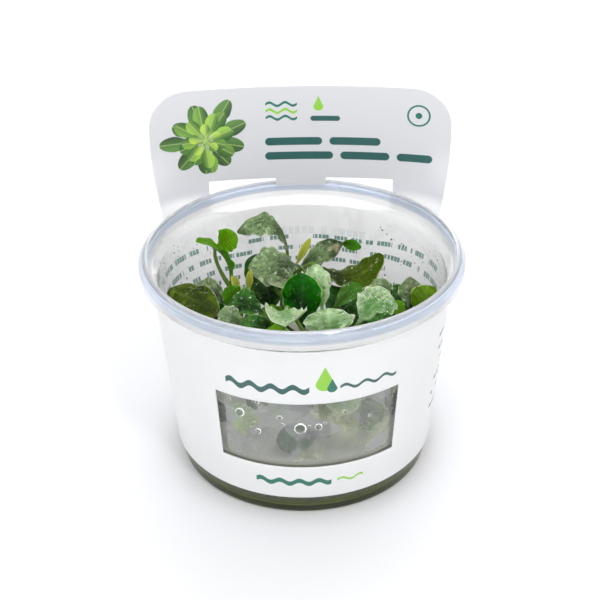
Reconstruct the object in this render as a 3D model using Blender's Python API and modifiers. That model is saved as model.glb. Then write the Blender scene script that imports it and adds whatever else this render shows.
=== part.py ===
"""Bucephalandra, an aquarium plant grown in a clear culture cup.

The cup stands on its foot ring at z = 0, with its axis on the world Z axis. The camera side of
the cup is -Y: the sleeve's window is there, and its tag stands up behind the plant, at +Y.
The sheet of the sleeve is one piece: a band round the wall, two legs that pass outside the
cup's flange, and the tag that they carry. Leaves grow on stalks from seven upright stems,
which stand on a layer of clear gel. Sizes below are in millimetres.
"""
import math
from collections import namedtuple

import bpy
import numpy as np

MM = 0.001
GAP = 0.3

# Cup: a straight tapered wall, a wider rim band, and a flange with a skirt round it.
CUP_HEIGHT = 59.8
FLANGE_RADIUS = 42.0
SKIRT_BOTTOM = 55.3
WALL_FOOT_RADIUS = 33.4
WALL_TOP_RADIUS = 37.9
WALL_TOP = 53.2
WALL_THICK = 0.7
FOOT_OUTER = 33.0
FOOT_INNER = 27.0
FOOT_RECESS = 0.6
FLOOR_TOP = 1.4
CUP_STEPS = 32

# Gel: it fills the foot of the cup and climbs a little at the wall.
GEL_TOP = 16.3
GEL_CLIMB = 0.9
GEL_STEPS = 28

# Sleeve and tag: one die-cut sheet. A column is a distance along the band from the back centre.
SHEET_THICK = 0.35
SHEET_CLEAR = 0.5
BAND_RADIUS = 38.0
BAND_BOTTOM = 6.0
BAND_TOP = 52.8
WINDOW_BOTTOM = 16.2
WINDOW_TOP = 37.0
WINDOW_LEFT_ANGLE = 35.8
WINDOW_RIGHT_ANGLE = 39.3
LEG_INNER = 25.6
TAG_HALF_WIDTH = 40.8
TAG_BACK = 36.3
TAG_CURVE_RADIUS = 165.0
TAG_TOP = 89.4
TAG_CORNER = 10.5
SLOT_TOP = 62.2
TAB_HALF_WIDTH = 7.0
TAB_BOTTOM = 59.8
BEND_START = 28.0
BEND_HEIGHT = 30.0
BEND_INNER = 15.0
BEND_OUTER = 64.0
BEND_LIFT = 20.0

# Stems: foot (x, y), top (x, y, z) and radius at the foot. They taper upwards.
STEM_FOOT = 16.9
STEM_BOW = 1.2
STEM_TAPER = 0.45
STEM_POINTS = 6
Stem = namedtuple("Stem", "foot top radius")
STEMS = (
    Stem((-16, 1), (-17.8, 2, 47), 1.7),
    Stem((-5, 5), (-4, 7, 48), 1.3),
    Stem((3, -5), (3, -7, 46), 1.3),
    Stem((13, 5), (14, 5, 45), 1.3),
    Stem((23, -9), (25, -8, 43), 1.2),
    Stem((-13, -15), (-14, -14, 45), 1.3),
    Stem((6, -22), (5, -22, 45), 1.2),
)

# Leaves: the stem that each grows from and how far up it, the blade's neck and tip, its width,
# the rise of its midrib, the compass heading and tilt of its upper face (heading 0 looks to -Y,
# 90 to +X; tilt 90 looks up), how far its edges fold up or down, and its tone.
STALK_RADIUS = 0.55
STALK_LEAN = 0.25
STALK_STEPS = (0.0, 0.5)
BLADE_STEPS = (0.0, 0.14, 0.34, 0.58, 0.80, 0.94, 1.0)
BLADE_ACROSS = (-1.0, -0.5, 0.0, 0.5, 1.0)
BLADE_HALF_THICK = 0.22
TIP_HALF_WIDTH = 0.5
WAVE_DEPTH = 0.06
WAVE_COUNT = 1.1
Leaf = namedtuple("Leaf", "stem height neck tip width arch heading tilt fold tone")
LEAVES = (
    Leaf(2, 0.95, (-4, 12, 53), (-17.2, 13, 57.5), 8.5, 7.6, 300, 65, -0.3, "grey"),
    Leaf(1, 0.98, (-22, 6.4, 57.2), (-16.8, 5.4, 60.8), 6.5, 0.6, 0, 30, 0.2, "vivid"),
    Leaf(1, 0.93, (-18.8, 1.2, 47.5), (-27, 0, 62.3), 7, 3.4, 110, 30, 0.3, "vivid"),
    Leaf(3, 1.00, (-1, 4, 52), (-14, 2, 53), 11, 2, 350, 50, -0.3, "grey"),
    Leaf(2, 0.80, (-8, 8, 46), (-14.5, 10, 51), 9, 1, 330, 30, 0.2, "deep"),
    Leaf(2, 0.80, (-1.5, 8.5, 50), (2.3, 10, 57), 2, 0, 0, 30, 0.0, "young"),
    Leaf(4, 0.90, (-0.5, 11, 47.5), (11, 13, 54), 6, 3, 0, 45, -0.3, "grey"),
    Leaf(2, 0.62, (10.8, 16, 52), (16, 13.5, 52), 3, 1, 0, 40, 0.2, "vivid"),
    Leaf(2, 1.0, (4, 3.5, 52.5), (21.3, 5, 54.5), 11.5, -6, 0, 80, -0.1, "olive"),
    Leaf(3, 0.80, (0.2, -18, 46.5), (-0.5, -9, 57.5), 11.5, -1, 4, 25, 0.7, "vivid"),
    Leaf(7, 0.95, (-4, -20, 53.5), (-4, -29, 54.5), 11, -0.8, 180, 85, 0.7, "pale"),
    Leaf(7, 0.90, (7, -29, 50), (6, -24, 56), 12, 1, 0, 45, 0.1, "pale"),
    Leaf(7, 0.75, (14, -22, 51), (22, -14, 54), 11, 1, 330, 45, 0.1, "pale"),
    Leaf(5, 0.70, (25, -16, 48), (23, -14, 52), 4, 0, 30, 40, 0.2, "vivid"),
    Leaf(5, 0.85, (29, -5, 42.5), (28, -1, 51.3), 7, 0, 330, 10, 0.1, "grey"),
    Leaf(5, 0.75, (28, -13, 47), (33.5, -11, 54), 7, 1, 330, 35, 0.2, "olive"),
    Leaf(6, 0.95, (-20, -17, 50), (-34, -9, 53), 12, 1, 20, 50, -0.3, "olive"),
    Leaf(6, 0.90, (-20, -5, 46.5), (-28, 0, 48.5), 8, 1, 0, 60, 0.1, "grey"),
    Leaf(6, 0.98, (-10, -15, 49.5), (-19, -9, 49), 9, 1, 10, 60, 0.1, "deep"),
    Leaf(6, 0.80, (-15, -20, 49), (-21, -20, 52), 7, 1, 0, 50, 0.0, "grey"),
    Leaf(6, 0.70, (-7, -24, 50), (-15, -26, 53), 6, 1, 0, 50, 0.0, "deep"),
    Leaf(7, 0.60, (-3, -29, 50), (-9, -29, 53), 5, 1, 0, 50, 0.1, "vivid"),
    Leaf(1, 0.82, (-16.2, -1.8, 48), (-18.2, -1.4, 52.5), 2, 0, 20, 30, 0.3, "young"),
    Leaf(1, 0.66, (-13.9, -1.4, 48), (-13.3, -1, 54), 2, 0, 340, 30, 0.3, "young"),
    Leaf(3, 0.92, (-1, -6, 52), (-9, -4, 54), 6, 1, 0, 60, 0.0, "grey"),
    Leaf(3, 0.70, (5, -11, 48), (3, -4, 57), 7, 1, 10, 30, -0.1, "pale"),
    Leaf(7, 1.00, (8, -14, 50), (15, -8, 53), 5, 1, 0, 60, 0.2, "deep"),
    Leaf(5, 0.98, (22, -9, 48), (18, -6, 53), 7, 1, 20, 40, 0.1, "grey"),
    Leaf(7, 0.50, (14, -26, 49), (23, -23, 52), 6, 1, 340, 50, 0.1, "deep"),
    Leaf(6, 0.35, (-10, -29, 28), (-19, -26, 26), 7, 1, 340, 20, 0.1, "pale"),
    Leaf(6, 0.60, (-5, -30, 34), (-8, -31, 29), 4, 0, 350, 10, 0.1, "pale"),
    Leaf(7, 0.15, (4, -28, 22), (-7, -30, 20), 8, 0, 350, 30, 0.1, "deep"),
    Leaf(7, 0.30, (9, -27, 24), (20, -26, 28), 9, 1, 20, 20, 0.1, "grey"),
    Leaf(5, 0.25, (23, -19, 21), (24, -22, 31), 8, 1, 45, 15, 0.1, "deep"),
    Leaf(6, 0.15, (-18, -21, 20), (-24, -21, 29), 9, 1, 315, 20, 0.1, "deep"),
    Leaf(7, 0.50, (5, -28, 31), (14, -30, 35), 8, 1, 10, 30, 0.1, "pale"),
    Leaf(7, 0.45, (0, -29, 28), (-1, -31, 38), 8, 0, 0, 20, 0.2, "deep"),
    Leaf(1, 0.45, (-21, 8, 31), (-30, 12, 37), 11, 1, 320, 60, 0.2, "deep"),
    Leaf(2, 0.50, (-8, 13, 33), (-12, 22, 40), 12, 1, 10, 70, 0.2, "deep"),
    Leaf(4, 0.35, (16, 12, 30), (19, 22, 36), 11, 1, 350, 70, 0.2, "olive"),
    Leaf(4, 0.55, (21, 6, 34), (31, 10, 39), 11, 1, 30, 60, 0.2, "deep"),
    Leaf(5, 0.50, (27, -3, 33), (31, 3, 41), 9, 1, 60, 40, 0.2, "deep"),
    Leaf(1, 0.30, (-22, -5, 33), (-32, -4, 41), 10, 1, 340, 50, 0.2, "deep"),
    Leaf(3, 0.60, (7, -4, 41), (12, 4, 45), 9, 1, 0, 50, 0.1, "deep"),
    Leaf(7, 0.85, (10, -17, 44), (16, -9, 47), 7, 1, 0, 60, 0.1, "deep"),
    Leaf(3, 0.45, (-3, -14, 33), (-5, -23, 37), 10, 1, 0, 60, 0.2, "deep"),
    Leaf(7, 0.60, (13, -20, 41), (21, -24, 44), 8, 1, 20, 70, 0.2, "deep"),
    Leaf(6, 0.45, (-19, -17, 38), (-27, -19, 43), 9, 1, 320, 60, 0.1, "deep"),
    Leaf(1, 0.54, (-16.4, -4.2, 45.6), (-20, -5, 50.8), 6, 1, 350, 50, 0.1, "vivid"),
    Leaf(3, 0.70, (-4, -10, 42), (-11, -12, 48), 7, 1, 0, 45, 0.1, "vivid"),
)

# Finishes: base colour with its alpha, roughness, metallic.
FINISHES = {
    "clear_plastic": ((0.86, 0.90, 0.93, 0.25), 0.08, 0.0),
    "printed_film": ((0.90, 0.91, 0.92, 1.0), 0.35, 0.0),
    "gel": ((0.62, 0.68, 0.38, 0.55), 0.10, 0.0),
    "stem": ((0.16, 0.30, 0.07, 1.0), 0.40, 0.0),
    "leaf_deep": ((0.03, 0.11, 0.04, 1.0), 0.30, 0.0),
    "leaf_grey": ((0.20, 0.28, 0.20, 1.0), 0.35, 0.0),
    "leaf_olive": ((0.16, 0.24, 0.04, 1.0), 0.35, 0.0),
    "leaf_pale": ((0.40, 0.55, 0.33, 1.0), 0.30, 0.0),
    "leaf_vivid": ((0.08, 0.33, 0.04, 1.0), 0.30, 0.0),
    "leaf_young": ((0.55, 0.58, 0.12, 1.0), 0.35, 0.0),
}


def unit(vector):
    return vector / np.linalg.norm(vector)


def smooth_step(value):
    value = min(max(value, 0.0), 1.0)
    return value * value * (3.0 - 2.0 * value)


def bezier(points, t):
    """The point at t on the Bezier curve of any number of control points."""
    points = list(points)
    while len(points) > 1:
        points = [a + (b - a) * t for a, b in zip(points, points[1:])]
    return points[0]


def bezier_direction(points, t, step=0.001):
    ahead = bezier(points, min(t + step, 1.0))
    behind = bezier(points, max(t - step, 0.0))
    return unit(ahead - behind)


def clear_scene():
    for item in list(bpy.data.objects):
        bpy.data.objects.remove(item, do_unlink=True)


def new_collection(name):
    collection = bpy.data.collections.new(name)
    bpy.context.scene.collection.children.link(collection)
    return collection


def make_material(name):
    colour, roughness, metallic = FINISHES[name]
    material = bpy.data.materials.new(name)
    material.use_nodes = True
    shader = material.node_tree.nodes["Principled BSDF"]
    shader.inputs["Base Color"].default_value = colour[:3] + (1.0,)
    shader.inputs["Alpha"].default_value = colour[3]
    shader.inputs["Roughness"].default_value = roughness
    shader.inputs["Metallic"].default_value = metallic
    material.diffuse_color = colour
    return material


def add_object(name, data, finish):
    """Links an object for a mesh or curve, with a finish of its own."""
    data.materials.append(make_material(finish))
    item = bpy.data.objects.new(name, data)
    PLANT.objects.link(item)
    return item


def mesh_from(name, points, faces):
    mesh = bpy.data.meshes.new(name)
    mesh.from_pydata([tuple(MM * np.asarray(point)) for point in points], [], faces)
    return mesh


def add_turned(name, profile, steps, finish):
    """A solid turned about Z from (radius, z) points that begin and end on the axis."""
    mesh = bpy.data.meshes.new(name)
    points = [(MM * radius, 0.0, MM * z) for radius, z in profile]
    edges = [(k, k + 1) for k in range(len(points) - 1)]
    mesh.from_pydata(points, edges, [])
    item = add_object(name, mesh, finish)
    screw = item.modifiers.new("turn", "SCREW")
    screw.angle = math.tau
    screw.steps = steps
    screw.render_steps = steps
    screw.use_merge_vertices = True
    screw.merge_threshold = 0.0001
    screw.use_smooth_shade = True
    return item


def wall_radius(z):
    """Outer radius of the cup's tapered wall at height z."""
    return WALL_FOOT_RADIUS + (WALL_TOP_RADIUS - WALL_FOOT_RADIUS) * z / WALL_TOP


def add_cup():
    inside = WALL_THICK
    profile = (
        (0.0, FLOOR_TOP),
        (31.4, FLOOR_TOP),
        (wall_radius(2.6) - inside, 2.6),
        (WALL_TOP_RADIUS - inside, WALL_TOP),
        (39.0, 55.2),
        (39.4, 59.0),
        (39.9, CUP_HEIGHT),
        (40.5, 59.7),
        (FLANGE_RADIUS, 58.0),
        (FLANGE_RADIUS, SKIRT_BOTTOM),
        (FLANGE_RADIUS - 0.6, SKIRT_BOTTOM),
        (FLANGE_RADIUS - 0.7, 57.7),
        (40.5, 58.3),
        (40.0, 57.7),
        (39.7, 54.9),
        (WALL_TOP_RADIUS, WALL_TOP - 0.3),
        (wall_radius(0.8), 0.8),
        (FOOT_OUTER, 0.0),
        (FOOT_INNER, 0.0),
        (FOOT_INNER - 0.6, FOOT_RECESS),
        (0.0, FOOT_RECESS),
    )
    add_turned("cup", profile, CUP_STEPS, "clear_plastic")


def add_gel():
    edge = GEL_TOP + GEL_CLIMB
    inside = WALL_THICK + GAP + 0.1
    profile = (
        (0.0, GEL_TOP),
        (29.0, GEL_TOP),
        (32.6, GEL_TOP + 0.2),
        (wall_radius(edge) - inside, edge),
        (wall_radius(3.2) - inside, 3.2),
        (31.2, FLOOR_TOP + GAP),
        (0.0, FLOOR_TOP + GAP),
    )
    add_turned("gel", profile, GEL_STEPS, "gel")


def band_point(column, z):
    """A point of the sleeve's band, wrapped round the wall."""
    angle = column / BAND_RADIUS
    radius = wall_radius(min(z, WALL_TOP)) + SHEET_CLEAR + SHEET_THICK / 2
    return np.array([radius * math.sin(angle), radius * math.cos(angle), z])


def tag_point(column, z):
    """A point of the tag: a tall sheet, a little hollow towards the plant."""
    corner = max(z - (TAG_TOP - TAG_CORNER), 0.0)
    half_width = TAG_HALF_WIDTH - TAG_CORNER + math.sqrt(TAG_CORNER ** 2 - corner ** 2)
    x = column * half_width / TAG_HALF_WIDTH
    return np.array([x, TAG_BACK - x * x / (2 * TAG_CURVE_RADIUS), z])


def sheet_point(column, z):
    """Blends the band into the tag along the legs, which bend out round the flange.

    The band stands off the wall beside each leg and lies on it again further round, and the
    legs' outer edges come out to the tag's full width only above the flange.
    """
    across = abs(column)
    share = smooth_step((z - BEND_START) / BEND_HEIGHT)
    if z < BAND_TOP + 0.01:
        share *= smooth_step((across - BEND_INNER) / (LEG_INNER - BEND_INNER))
    hold = smooth_step((BEND_OUTER - across) / (BEND_OUTER - LEG_INNER))
    hold += (1 - hold) * smooth_step((z - BAND_TOP) / BEND_LIFT)
    share *= hold
    return (1 - share) * band_point(column, z) + share * tag_point(column, z)


def window_edge(window_angle):
    """The column, counted from the back, of a window edge this many degrees off the front."""
    return (math.pi - math.radians(window_angle)) * BAND_RADIUS


def half_columns(window_angle):
    """Columns of half the sheet, from the back centre to the front centre."""
    window = window_edge(window_angle)
    front = math.pi * BAND_RADIUS
    tag = [0.0, TAB_HALF_WIDTH, 13.5, 20.0, LEG_INNER, 30.5, 35.5, TAG_HALF_WIDTH]
    side = [TAG_HALF_WIDTH + (window - TAG_HALF_WIDTH) * k / 6 for k in range(1, 7)]
    face = [window + (front - window) * k / 3 for k in range(1, 4)]
    return tag + side + face


def sheet_columns():
    """Columns from the front centre round the back to the front centre again."""
    left = half_columns(WINDOW_LEFT_ANGLE)
    return [-column for column in left[:0:-1]] + half_columns(WINDOW_RIGHT_ANGLE)


def sheet_rows():
    corner_rows = [TAG_TOP - TAG_CORNER * (1 - math.sin(math.pi * k / 8)) for k in range(5)]
    band_rows = [BAND_BOTTOM, WINDOW_BOTTOM, BEND_START, WINDOW_TOP, 42.0, 47.5, BAND_TOP]
    leg_rows = [55.2, 57.5, TAB_BOTTOM, SLOT_TOP]
    return band_rows + leg_rows + [70.5] + corner_rows


def sheet_has(column, z):
    """True where the die-cut sheet has material."""
    across = abs(column)
    if z < BAND_TOP:
        edge = window_edge(WINDOW_RIGHT_ANGLE if column > 0 else WINDOW_LEFT_ANGLE)
        return across < edge or not WINDOW_BOTTOM < z < WINDOW_TOP
    if z > SLOT_TOP:
        return across < TAG_HALF_WIDTH
    if z > TAB_BOTTOM and across < TAB_HALF_WIDTH:
        return True
    return LEG_INNER < across < TAG_HALF_WIDTH


def add_sleeve():
    """The sheet is a grid with its window and slot left open, given its thickness after."""
    columns = sheet_columns()
    rows = sheet_rows()
    points = []
    index = {}
    faces = []

    def corner(i, j):
        i = i % (len(columns) - 1)
        if (i, j) not in index:
            index[i, j] = len(points)
            points.append(sheet_point(columns[i], rows[j]))
        return index[i, j]

    for j in range(len(rows) - 1):
        for i in range(len(columns) - 1):
            column = (columns[i] + columns[i + 1]) / 2
            z = (rows[j] + rows[j + 1]) / 2
            if sheet_has(column, z):
                faces.append((corner(i, j + 1), corner(i + 1, j + 1), corner(i + 1, j), corner(i, j)))
    mesh = mesh_from("printed_sleeve", points, faces)
    mesh.shade_smooth()
    item = add_object("printed_sleeve", mesh, "printed_film")
    solid = item.modifiers.new("thickness", "SOLIDIFY")
    solid.thickness = MM * SHEET_THICK
    solid.offset = 0.0
    solid.use_even_offset = True


def stem_point(stem, share):
    """A point on a stem's axis, which bows a little to one side."""
    foot = np.array([*stem.foot, STEM_FOOT], float)
    top = np.array(stem.top, float)
    side = np.cross(unit(top - foot), (0.0, 1.0, 0.0))
    return foot + share * (top - foot) + side * STEM_BOW * math.sin(math.pi * share)


def stem_radius(stem, share):
    return stem.radius * (1 - STEM_TAPER * share)


def add_stem(number, stem):
    curve = bpy.data.curves.new(f"stem_{number}", "CURVE")
    curve.dimensions = "3D"
    spline = curve.splines.new("POLY")
    spline.points.add(STEM_POINTS - 1)
    for k, point in enumerate(spline.points):
        share = k / (STEM_POINTS - 1)
        point.co = (*(MM * stem_point(stem, share)), 1.0)
        point.radius = stem_radius(stem, share)
    curve.bevel_depth = MM
    curve.bevel_resolution = 2
    curve.use_fill_caps = True
    spline.use_smooth = True
    add_object(f"stem_{number}", curve, "stem")


def face_direction(leaf):
    heading = math.radians(leaf.heading)
    tilt = math.radians(leaf.tilt)
    return np.array([math.sin(heading) * math.cos(tilt), -math.cos(heading) * math.cos(tilt), math.sin(tilt)])


def leaf_paths(leaf):
    """Control points of the stalk and of the midrib, and the upper face's direction."""
    neck = np.array(leaf.neck, float)
    tip = np.array(leaf.tip, float)
    along = unit(tip - neck)
    face = face_direction(leaf)
    face = unit(face - along * (face @ along))
    crown = (neck + tip) / 2 + 2 * leaf.arch * face
    stem = STEMS[leaf.stem - 1]
    axis = stem_point(stem, leaf.height)
    outward = unit((neck - axis) * (1.0, 1.0, 0.0))
    start = axis + outward * (stem_radius(stem, leaf.height) + GAP + STALK_LEAN)
    pull = 0.35 * np.linalg.norm(neck - start)
    leave = start + pull * unit(outward + (0.0, 0.0, 0.5))
    arrive = neck - pull * unit(crown - neck)
    return (start, leave, arrive, neck), (neck, crown, tip), face


def blade_half_width(leaf, t):
    """Widest past the middle, with a wedge at the neck and a round tip."""
    if not 0.0 < t < 1.0:
        return TIP_HALF_WIDTH
    return max(leaf.width / 2 * math.sin(math.pi * t ** 1.35) ** 0.65, TIP_HALF_WIDTH)


def stalk_ring(centre, side, face):
    count = 2 * (len(BLADE_ACROSS) - 1)
    ring = []
    for k in range(count):
        angle = math.pi - math.tau * k / count
        ring.append(centre + STALK_RADIUS * (math.cos(angle) * side + math.sin(angle) * face))
    return ring


def blade_ring(leaf, t, centre, side, face):
    """One closed section of the blade: its upper side from edge to edge, then its lower side."""
    half_width = blade_half_width(leaf, t)
    upper = []
    lower = []
    for u in BLADE_ACROSS:
        fold = leaf.fold * half_width * abs(u) ** 1.5 * math.sin(math.pi * min(t, 0.9)) ** 0.5
        wave = WAVE_DEPTH * leaf.width * u * abs(u) * math.sin(math.tau * WAVE_COUNT * t + leaf.width)
        across = half_width * u * (1 - 0.12 * abs(leaf.fold) * u * u)
        middle = centre + across * side + (fold + wave) * face
        half_thick = BLADE_HALF_THICK * (1 - abs(u) ** 3)
        upper.append(middle + half_thick * face)
        if abs(u) < 1:
            lower.append(middle - half_thick * face)
    return upper + lower[::-1]


def carried(facing, before, after):
    """The facing after the least turn that takes one direction to the next."""
    axis = np.cross(before, after)
    sine = np.linalg.norm(axis)
    if sine > 1e-6:
        axis /= sine
        cosine = before @ after
        along = axis * (axis @ facing) * (1 - cosine)
        facing = cosine * facing + sine * np.cross(axis, facing) + along
    return unit(facing - after * (facing @ after))


def leaf_rings(leaf):
    """Sections from the stem to the tip, each turned as little as it can be from the last."""
    stalk, midrib, face = leaf_paths(leaf)
    neck = bezier_direction(midrib, 0.0)
    neck_facing = unit(face - neck * (face @ neck))
    rings = []
    facing = neck_facing
    before = neck
    for t in BLADE_STEPS:
        direction = bezier_direction(midrib, t)
        facing = carried(facing, before, direction)
        before = direction
        side = np.cross(direction, facing)
        if t == 0.0:
            rings.append(stalk_ring(bezier(midrib, t), side, facing))
        else:
            rings.append(blade_ring(leaf, t, bezier(midrib, t), side, facing))
    facing = neck_facing
    before = neck
    for t in reversed(STALK_STEPS):
        direction = bezier_direction(stalk, t)
        facing = carried(facing, before, direction)
        before = direction
        side = np.cross(direction, facing)
        rings.insert(0, stalk_ring(bezier(stalk, t), side, facing))
    return rings


def loft_faces(points, ring_count, count):
    """Triangles of a loft, with both sides of the blade cut along the same diagonals."""
    faces = []
    for k in range(ring_count - 1):
        for i in range(count // 2):
            near = k * count
            far = near + count
            above = (near + i, near + i + 1, far + i + 1, far + i)
            a, b = (count - i) % count, count - i - 1
            below = (near + a, near + b, far + b, far + a)
            first = np.linalg.norm(points[above[0]] - points[above[2]])
            second = np.linalg.norm(points[above[1]] - points[above[3]])
            for (p, q, r, s), turn in ((above, 1), (below, -1)):
                cuts = ((p, q, r), (p, r, s)) if first < second else ((p, q, s), (q, r, s))
                faces += [cut[::turn] for cut in cuts]
    faces.append(tuple(range(count))[::-1])
    tip = (ring_count - 1) * count
    for i in range(count // 2):
        corners = (i, i + 1, count - i - 1, (count - i) % count)
        faces.append(tuple(tip + corner for corner in dict.fromkeys(corners)))
    return faces


def add_leaf(number, leaf):
    """A loft from the round stalk to the flat blade, closed at both ends."""
    rings = leaf_rings(leaf)
    points = [point for ring in rings for point in ring]
    name = f"leaf_{number:02d}"
    mesh = mesh_from(name, points, loft_faces(points, len(rings), len(rings[0])))
    mesh.shade_smooth()
    add_object(name, mesh, "leaf_" + leaf.tone)


clear_scene()
PLANT = new_collection("bucephalandra")
add_cup()
add_gel()
add_sleeve()
for stem_number, stem_row in enumerate(STEMS, start=1):
    add_stem(stem_number, stem_row)
for leaf_number, leaf_row in enumerate(LEAVES, start=1):
    add_leaf(leaf_number, leaf_row)
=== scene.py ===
# %% [markdown]
# # A bucephalandra in its culture cup
#
# A small aquarium plant is sold in the clear cup that it was grown in. It stands on a layer of
# clear gel, and one printed sheet is wrapped round the cup: a band with a window, and a tag that
# stands up behind the plant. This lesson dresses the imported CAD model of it, piece by piece.
# The frame comes first, because every piece has to sit where the CAD solids are.

# %% Load the frame
import math
from collections import namedtuple

import bpy
import numpy as np
from mathutils import Matrix, Vector


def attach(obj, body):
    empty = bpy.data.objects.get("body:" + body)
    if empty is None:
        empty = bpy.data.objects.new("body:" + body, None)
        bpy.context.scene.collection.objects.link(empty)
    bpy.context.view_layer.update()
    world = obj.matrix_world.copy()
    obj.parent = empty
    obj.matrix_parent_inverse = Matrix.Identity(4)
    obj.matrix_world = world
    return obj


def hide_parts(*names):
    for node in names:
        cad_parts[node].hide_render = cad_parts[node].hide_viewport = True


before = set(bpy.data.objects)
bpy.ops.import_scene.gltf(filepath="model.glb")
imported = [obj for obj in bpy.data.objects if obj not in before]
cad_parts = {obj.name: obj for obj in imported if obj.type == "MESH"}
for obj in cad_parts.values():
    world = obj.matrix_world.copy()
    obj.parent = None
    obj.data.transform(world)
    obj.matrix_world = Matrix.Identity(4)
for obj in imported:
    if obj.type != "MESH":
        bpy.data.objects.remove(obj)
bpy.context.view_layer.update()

# %% [markdown]
# ## Small tools
#
# Sizes below are in millimetres, as a maker would measure them, and `MM` turns them to metres.
# Colours are written as a painter's hex code and turned to the linear light that shaders use.

# %% Units and colours
MM = 0.001


def paint(code):
    """A hex colour, such as 4f7a35, as linear red, green and blue, with an alpha of 1."""
    shares = [int(code[k:k + 2], 16) / 255 for k in (0, 2, 4)]
    linear = [s / 12.92 if s <= 0.04045 else ((s + 0.055) / 1.055) ** 2.4 for s in shares]
    return (*linear, 1.0)


def unit(vector):
    return vector / np.linalg.norm(vector)


def smooth_step(value):
    value = min(max(value, 0.0), 1.0)
    return value * value * (3.0 - 2.0 * value)


print("paper white is", [round(c, 2) for c in paint("f0f1f4")])

# %% [markdown]
# Node trees get long when each node takes three lines. These helpers add a node, set its
# inputs by number or name, and hand back the output that the next node needs. The sums used
# most, plus, minus and times, get short names of their own.


# %% Node helpers
def add_node(tree, kind, inputs=None, out=0, **settings):
    """Adds a node. An input is a plain value, or another node's output to link."""
    node = tree.nodes.new(kind)
    for name, value in settings.items():
        setattr(node, name, value)
    for key, value in (inputs or {}).items():
        if isinstance(value, bpy.types.NodeSocket):
            tree.links.new(value, node.inputs[key])
        else:
            node.inputs[key].default_value = value
    return node.outputs[out]


def calc(tree, operation, *values):
    return add_node(tree, "ShaderNodeMath", dict(enumerate(values)), operation=operation)


def plus(tree, first, second):
    return calc(tree, "ADD", first, second)


def minus(tree, first, second):
    return calc(tree, "SUBTRACT", first, second)


def times(tree, first, second):
    return calc(tree, "MULTIPLY", first, second)


def split(tree, vector):
    """The x, y and z of a vector."""
    parts = tree.nodes.new("ShaderNodeSeparateXYZ")
    tree.links.new(vector, parts.inputs[0])
    return tuple(parts.outputs)


print("node helpers ready")

# %% [markdown]
# Colours are mixed by a share, and most shares come from a smooth ramp of a height, a distance
# or a noise. A bump roughens a surface in the shader alone, below what a mesh should carry.


# %% Colour and pattern helpers
def blend(tree, share, first, second):
    """Mixes two colours by a share from 0 to 1."""
    inputs = {0: share, 6: first, 7: second}
    return add_node(tree, "ShaderNodeMix", inputs, out=2, data_type="RGBA")


def ramp(tree, value, low, high, start=0.0, end=1.0):
    """A smooth rise from start to end as value goes from low to high."""
    inputs = {0: value, 1: low, 2: high, 3: start, 4: end}
    return add_node(tree, "ShaderNodeMapRange", inputs, interpolation_type="SMOOTHSTEP")


def height_ramp(tree, height, edges, start=0.0, end=1.0):
    """A smooth change between two heights, which are given in mm."""
    return ramp(tree, height, edges[0] * MM, edges[1] * MM, start, end)


def noise(tree, place, scale, detail=3.0, roughness=0.5, out=0):
    inputs = {"Vector": place, "Scale": scale, "Detail": detail, "Roughness": roughness}
    return add_node(tree, "ShaderNodeTexNoise", inputs, out=out)


def object_place(tree):
    return add_node(tree, "ShaderNodeTexCoord", out=3)


def start_material(name, **values):
    """A material with one Principled shader and its fixed values set on its own sockets."""
    material = bpy.data.materials.new(name)
    material.use_nodes = True
    tree = material.node_tree
    shader = tree.nodes["Principled BSDF"]
    for key, value in values.items():
        shader.inputs[key.replace("_", " ").title().replace("Ior", "IOR")].default_value = value
    return material, tree, shader


def add_bump(tree, shader, height, rise, strength):
    """Bumps up to rise mm high."""
    inputs = {"Strength": strength, "Distance": MM * rise, "Height": height}
    tree.links.new(add_node(tree, "ShaderNodeBump", inputs), shader.inputs["Normal"])


print("colour and pattern helpers ready")

# %% [markdown]
# Each piece is a plain mesh whose object stays at the origin, like the CAD nodes, so patterns
# on Object coordinates keep their place. A piece rides on the one body, `root`, and hides the
# CAD nodes that it stands for.


# %% Piece helpers
def mesh_of(name, points, faces):
    """A mesh from points in millimetres."""
    mesh = bpy.data.meshes.new(name)
    mesh.from_pydata(MM * np.asarray(points, float), [], faces)
    return mesh


def settle(item):
    """Turns what an object's modifiers make into its plain mesh."""
    depsgraph = bpy.context.evaluated_depsgraph_get()
    mesh = bpy.data.meshes.new_from_object(item.evaluated_get(depsgraph))
    item.modifiers.clear()
    item.data = mesh
    mesh.name = item.name


def place_piece(name, mesh, material=None, nodes=()):
    """Links a finished mesh as a piece of the object."""
    item = bpy.data.objects.new(name, mesh)
    bpy.context.scene.collection.objects.link(item)
    if material:
        mesh.materials.clear()
        mesh.materials.append(material)
    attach(item, "root")
    if nodes:
        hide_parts(*nodes)
    return item


def triangles(mesh):
    return sum(len(face.vertices) - 2 for face in mesh.polygons)


print("piece helpers ready")

# %% [markdown]
# Geometry Nodes grow what repeats. A tree gets named inputs for its sizes. `grow` runs it on a
# source mesh and keeps the result as a plain mesh, because an export drops instances.


# %% Geometry Nodes helpers
def start_tree(name, **sizes):
    """A tree with a geometry in and out, and one named input for each size."""
    tree = bpy.data.node_groups.new(name, "GeometryNodeTree")
    face = tree.interface
    face.new_socket("Geometry", in_out="INPUT", socket_type="NodeSocketGeometry")
    face.new_socket("Geometry", in_out="OUTPUT", socket_type="NodeSocketGeometry")
    for label, value in sizes.items():
        kind = "NodeSocketInt" if isinstance(value, int) else "NodeSocketFloat"
        socket = face.new_socket(label.replace("_", " "), in_out="INPUT", socket_type=kind)
        socket.default_value = value
    given = tree.nodes.new("NodeGroupInput").outputs
    return tree, given


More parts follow.
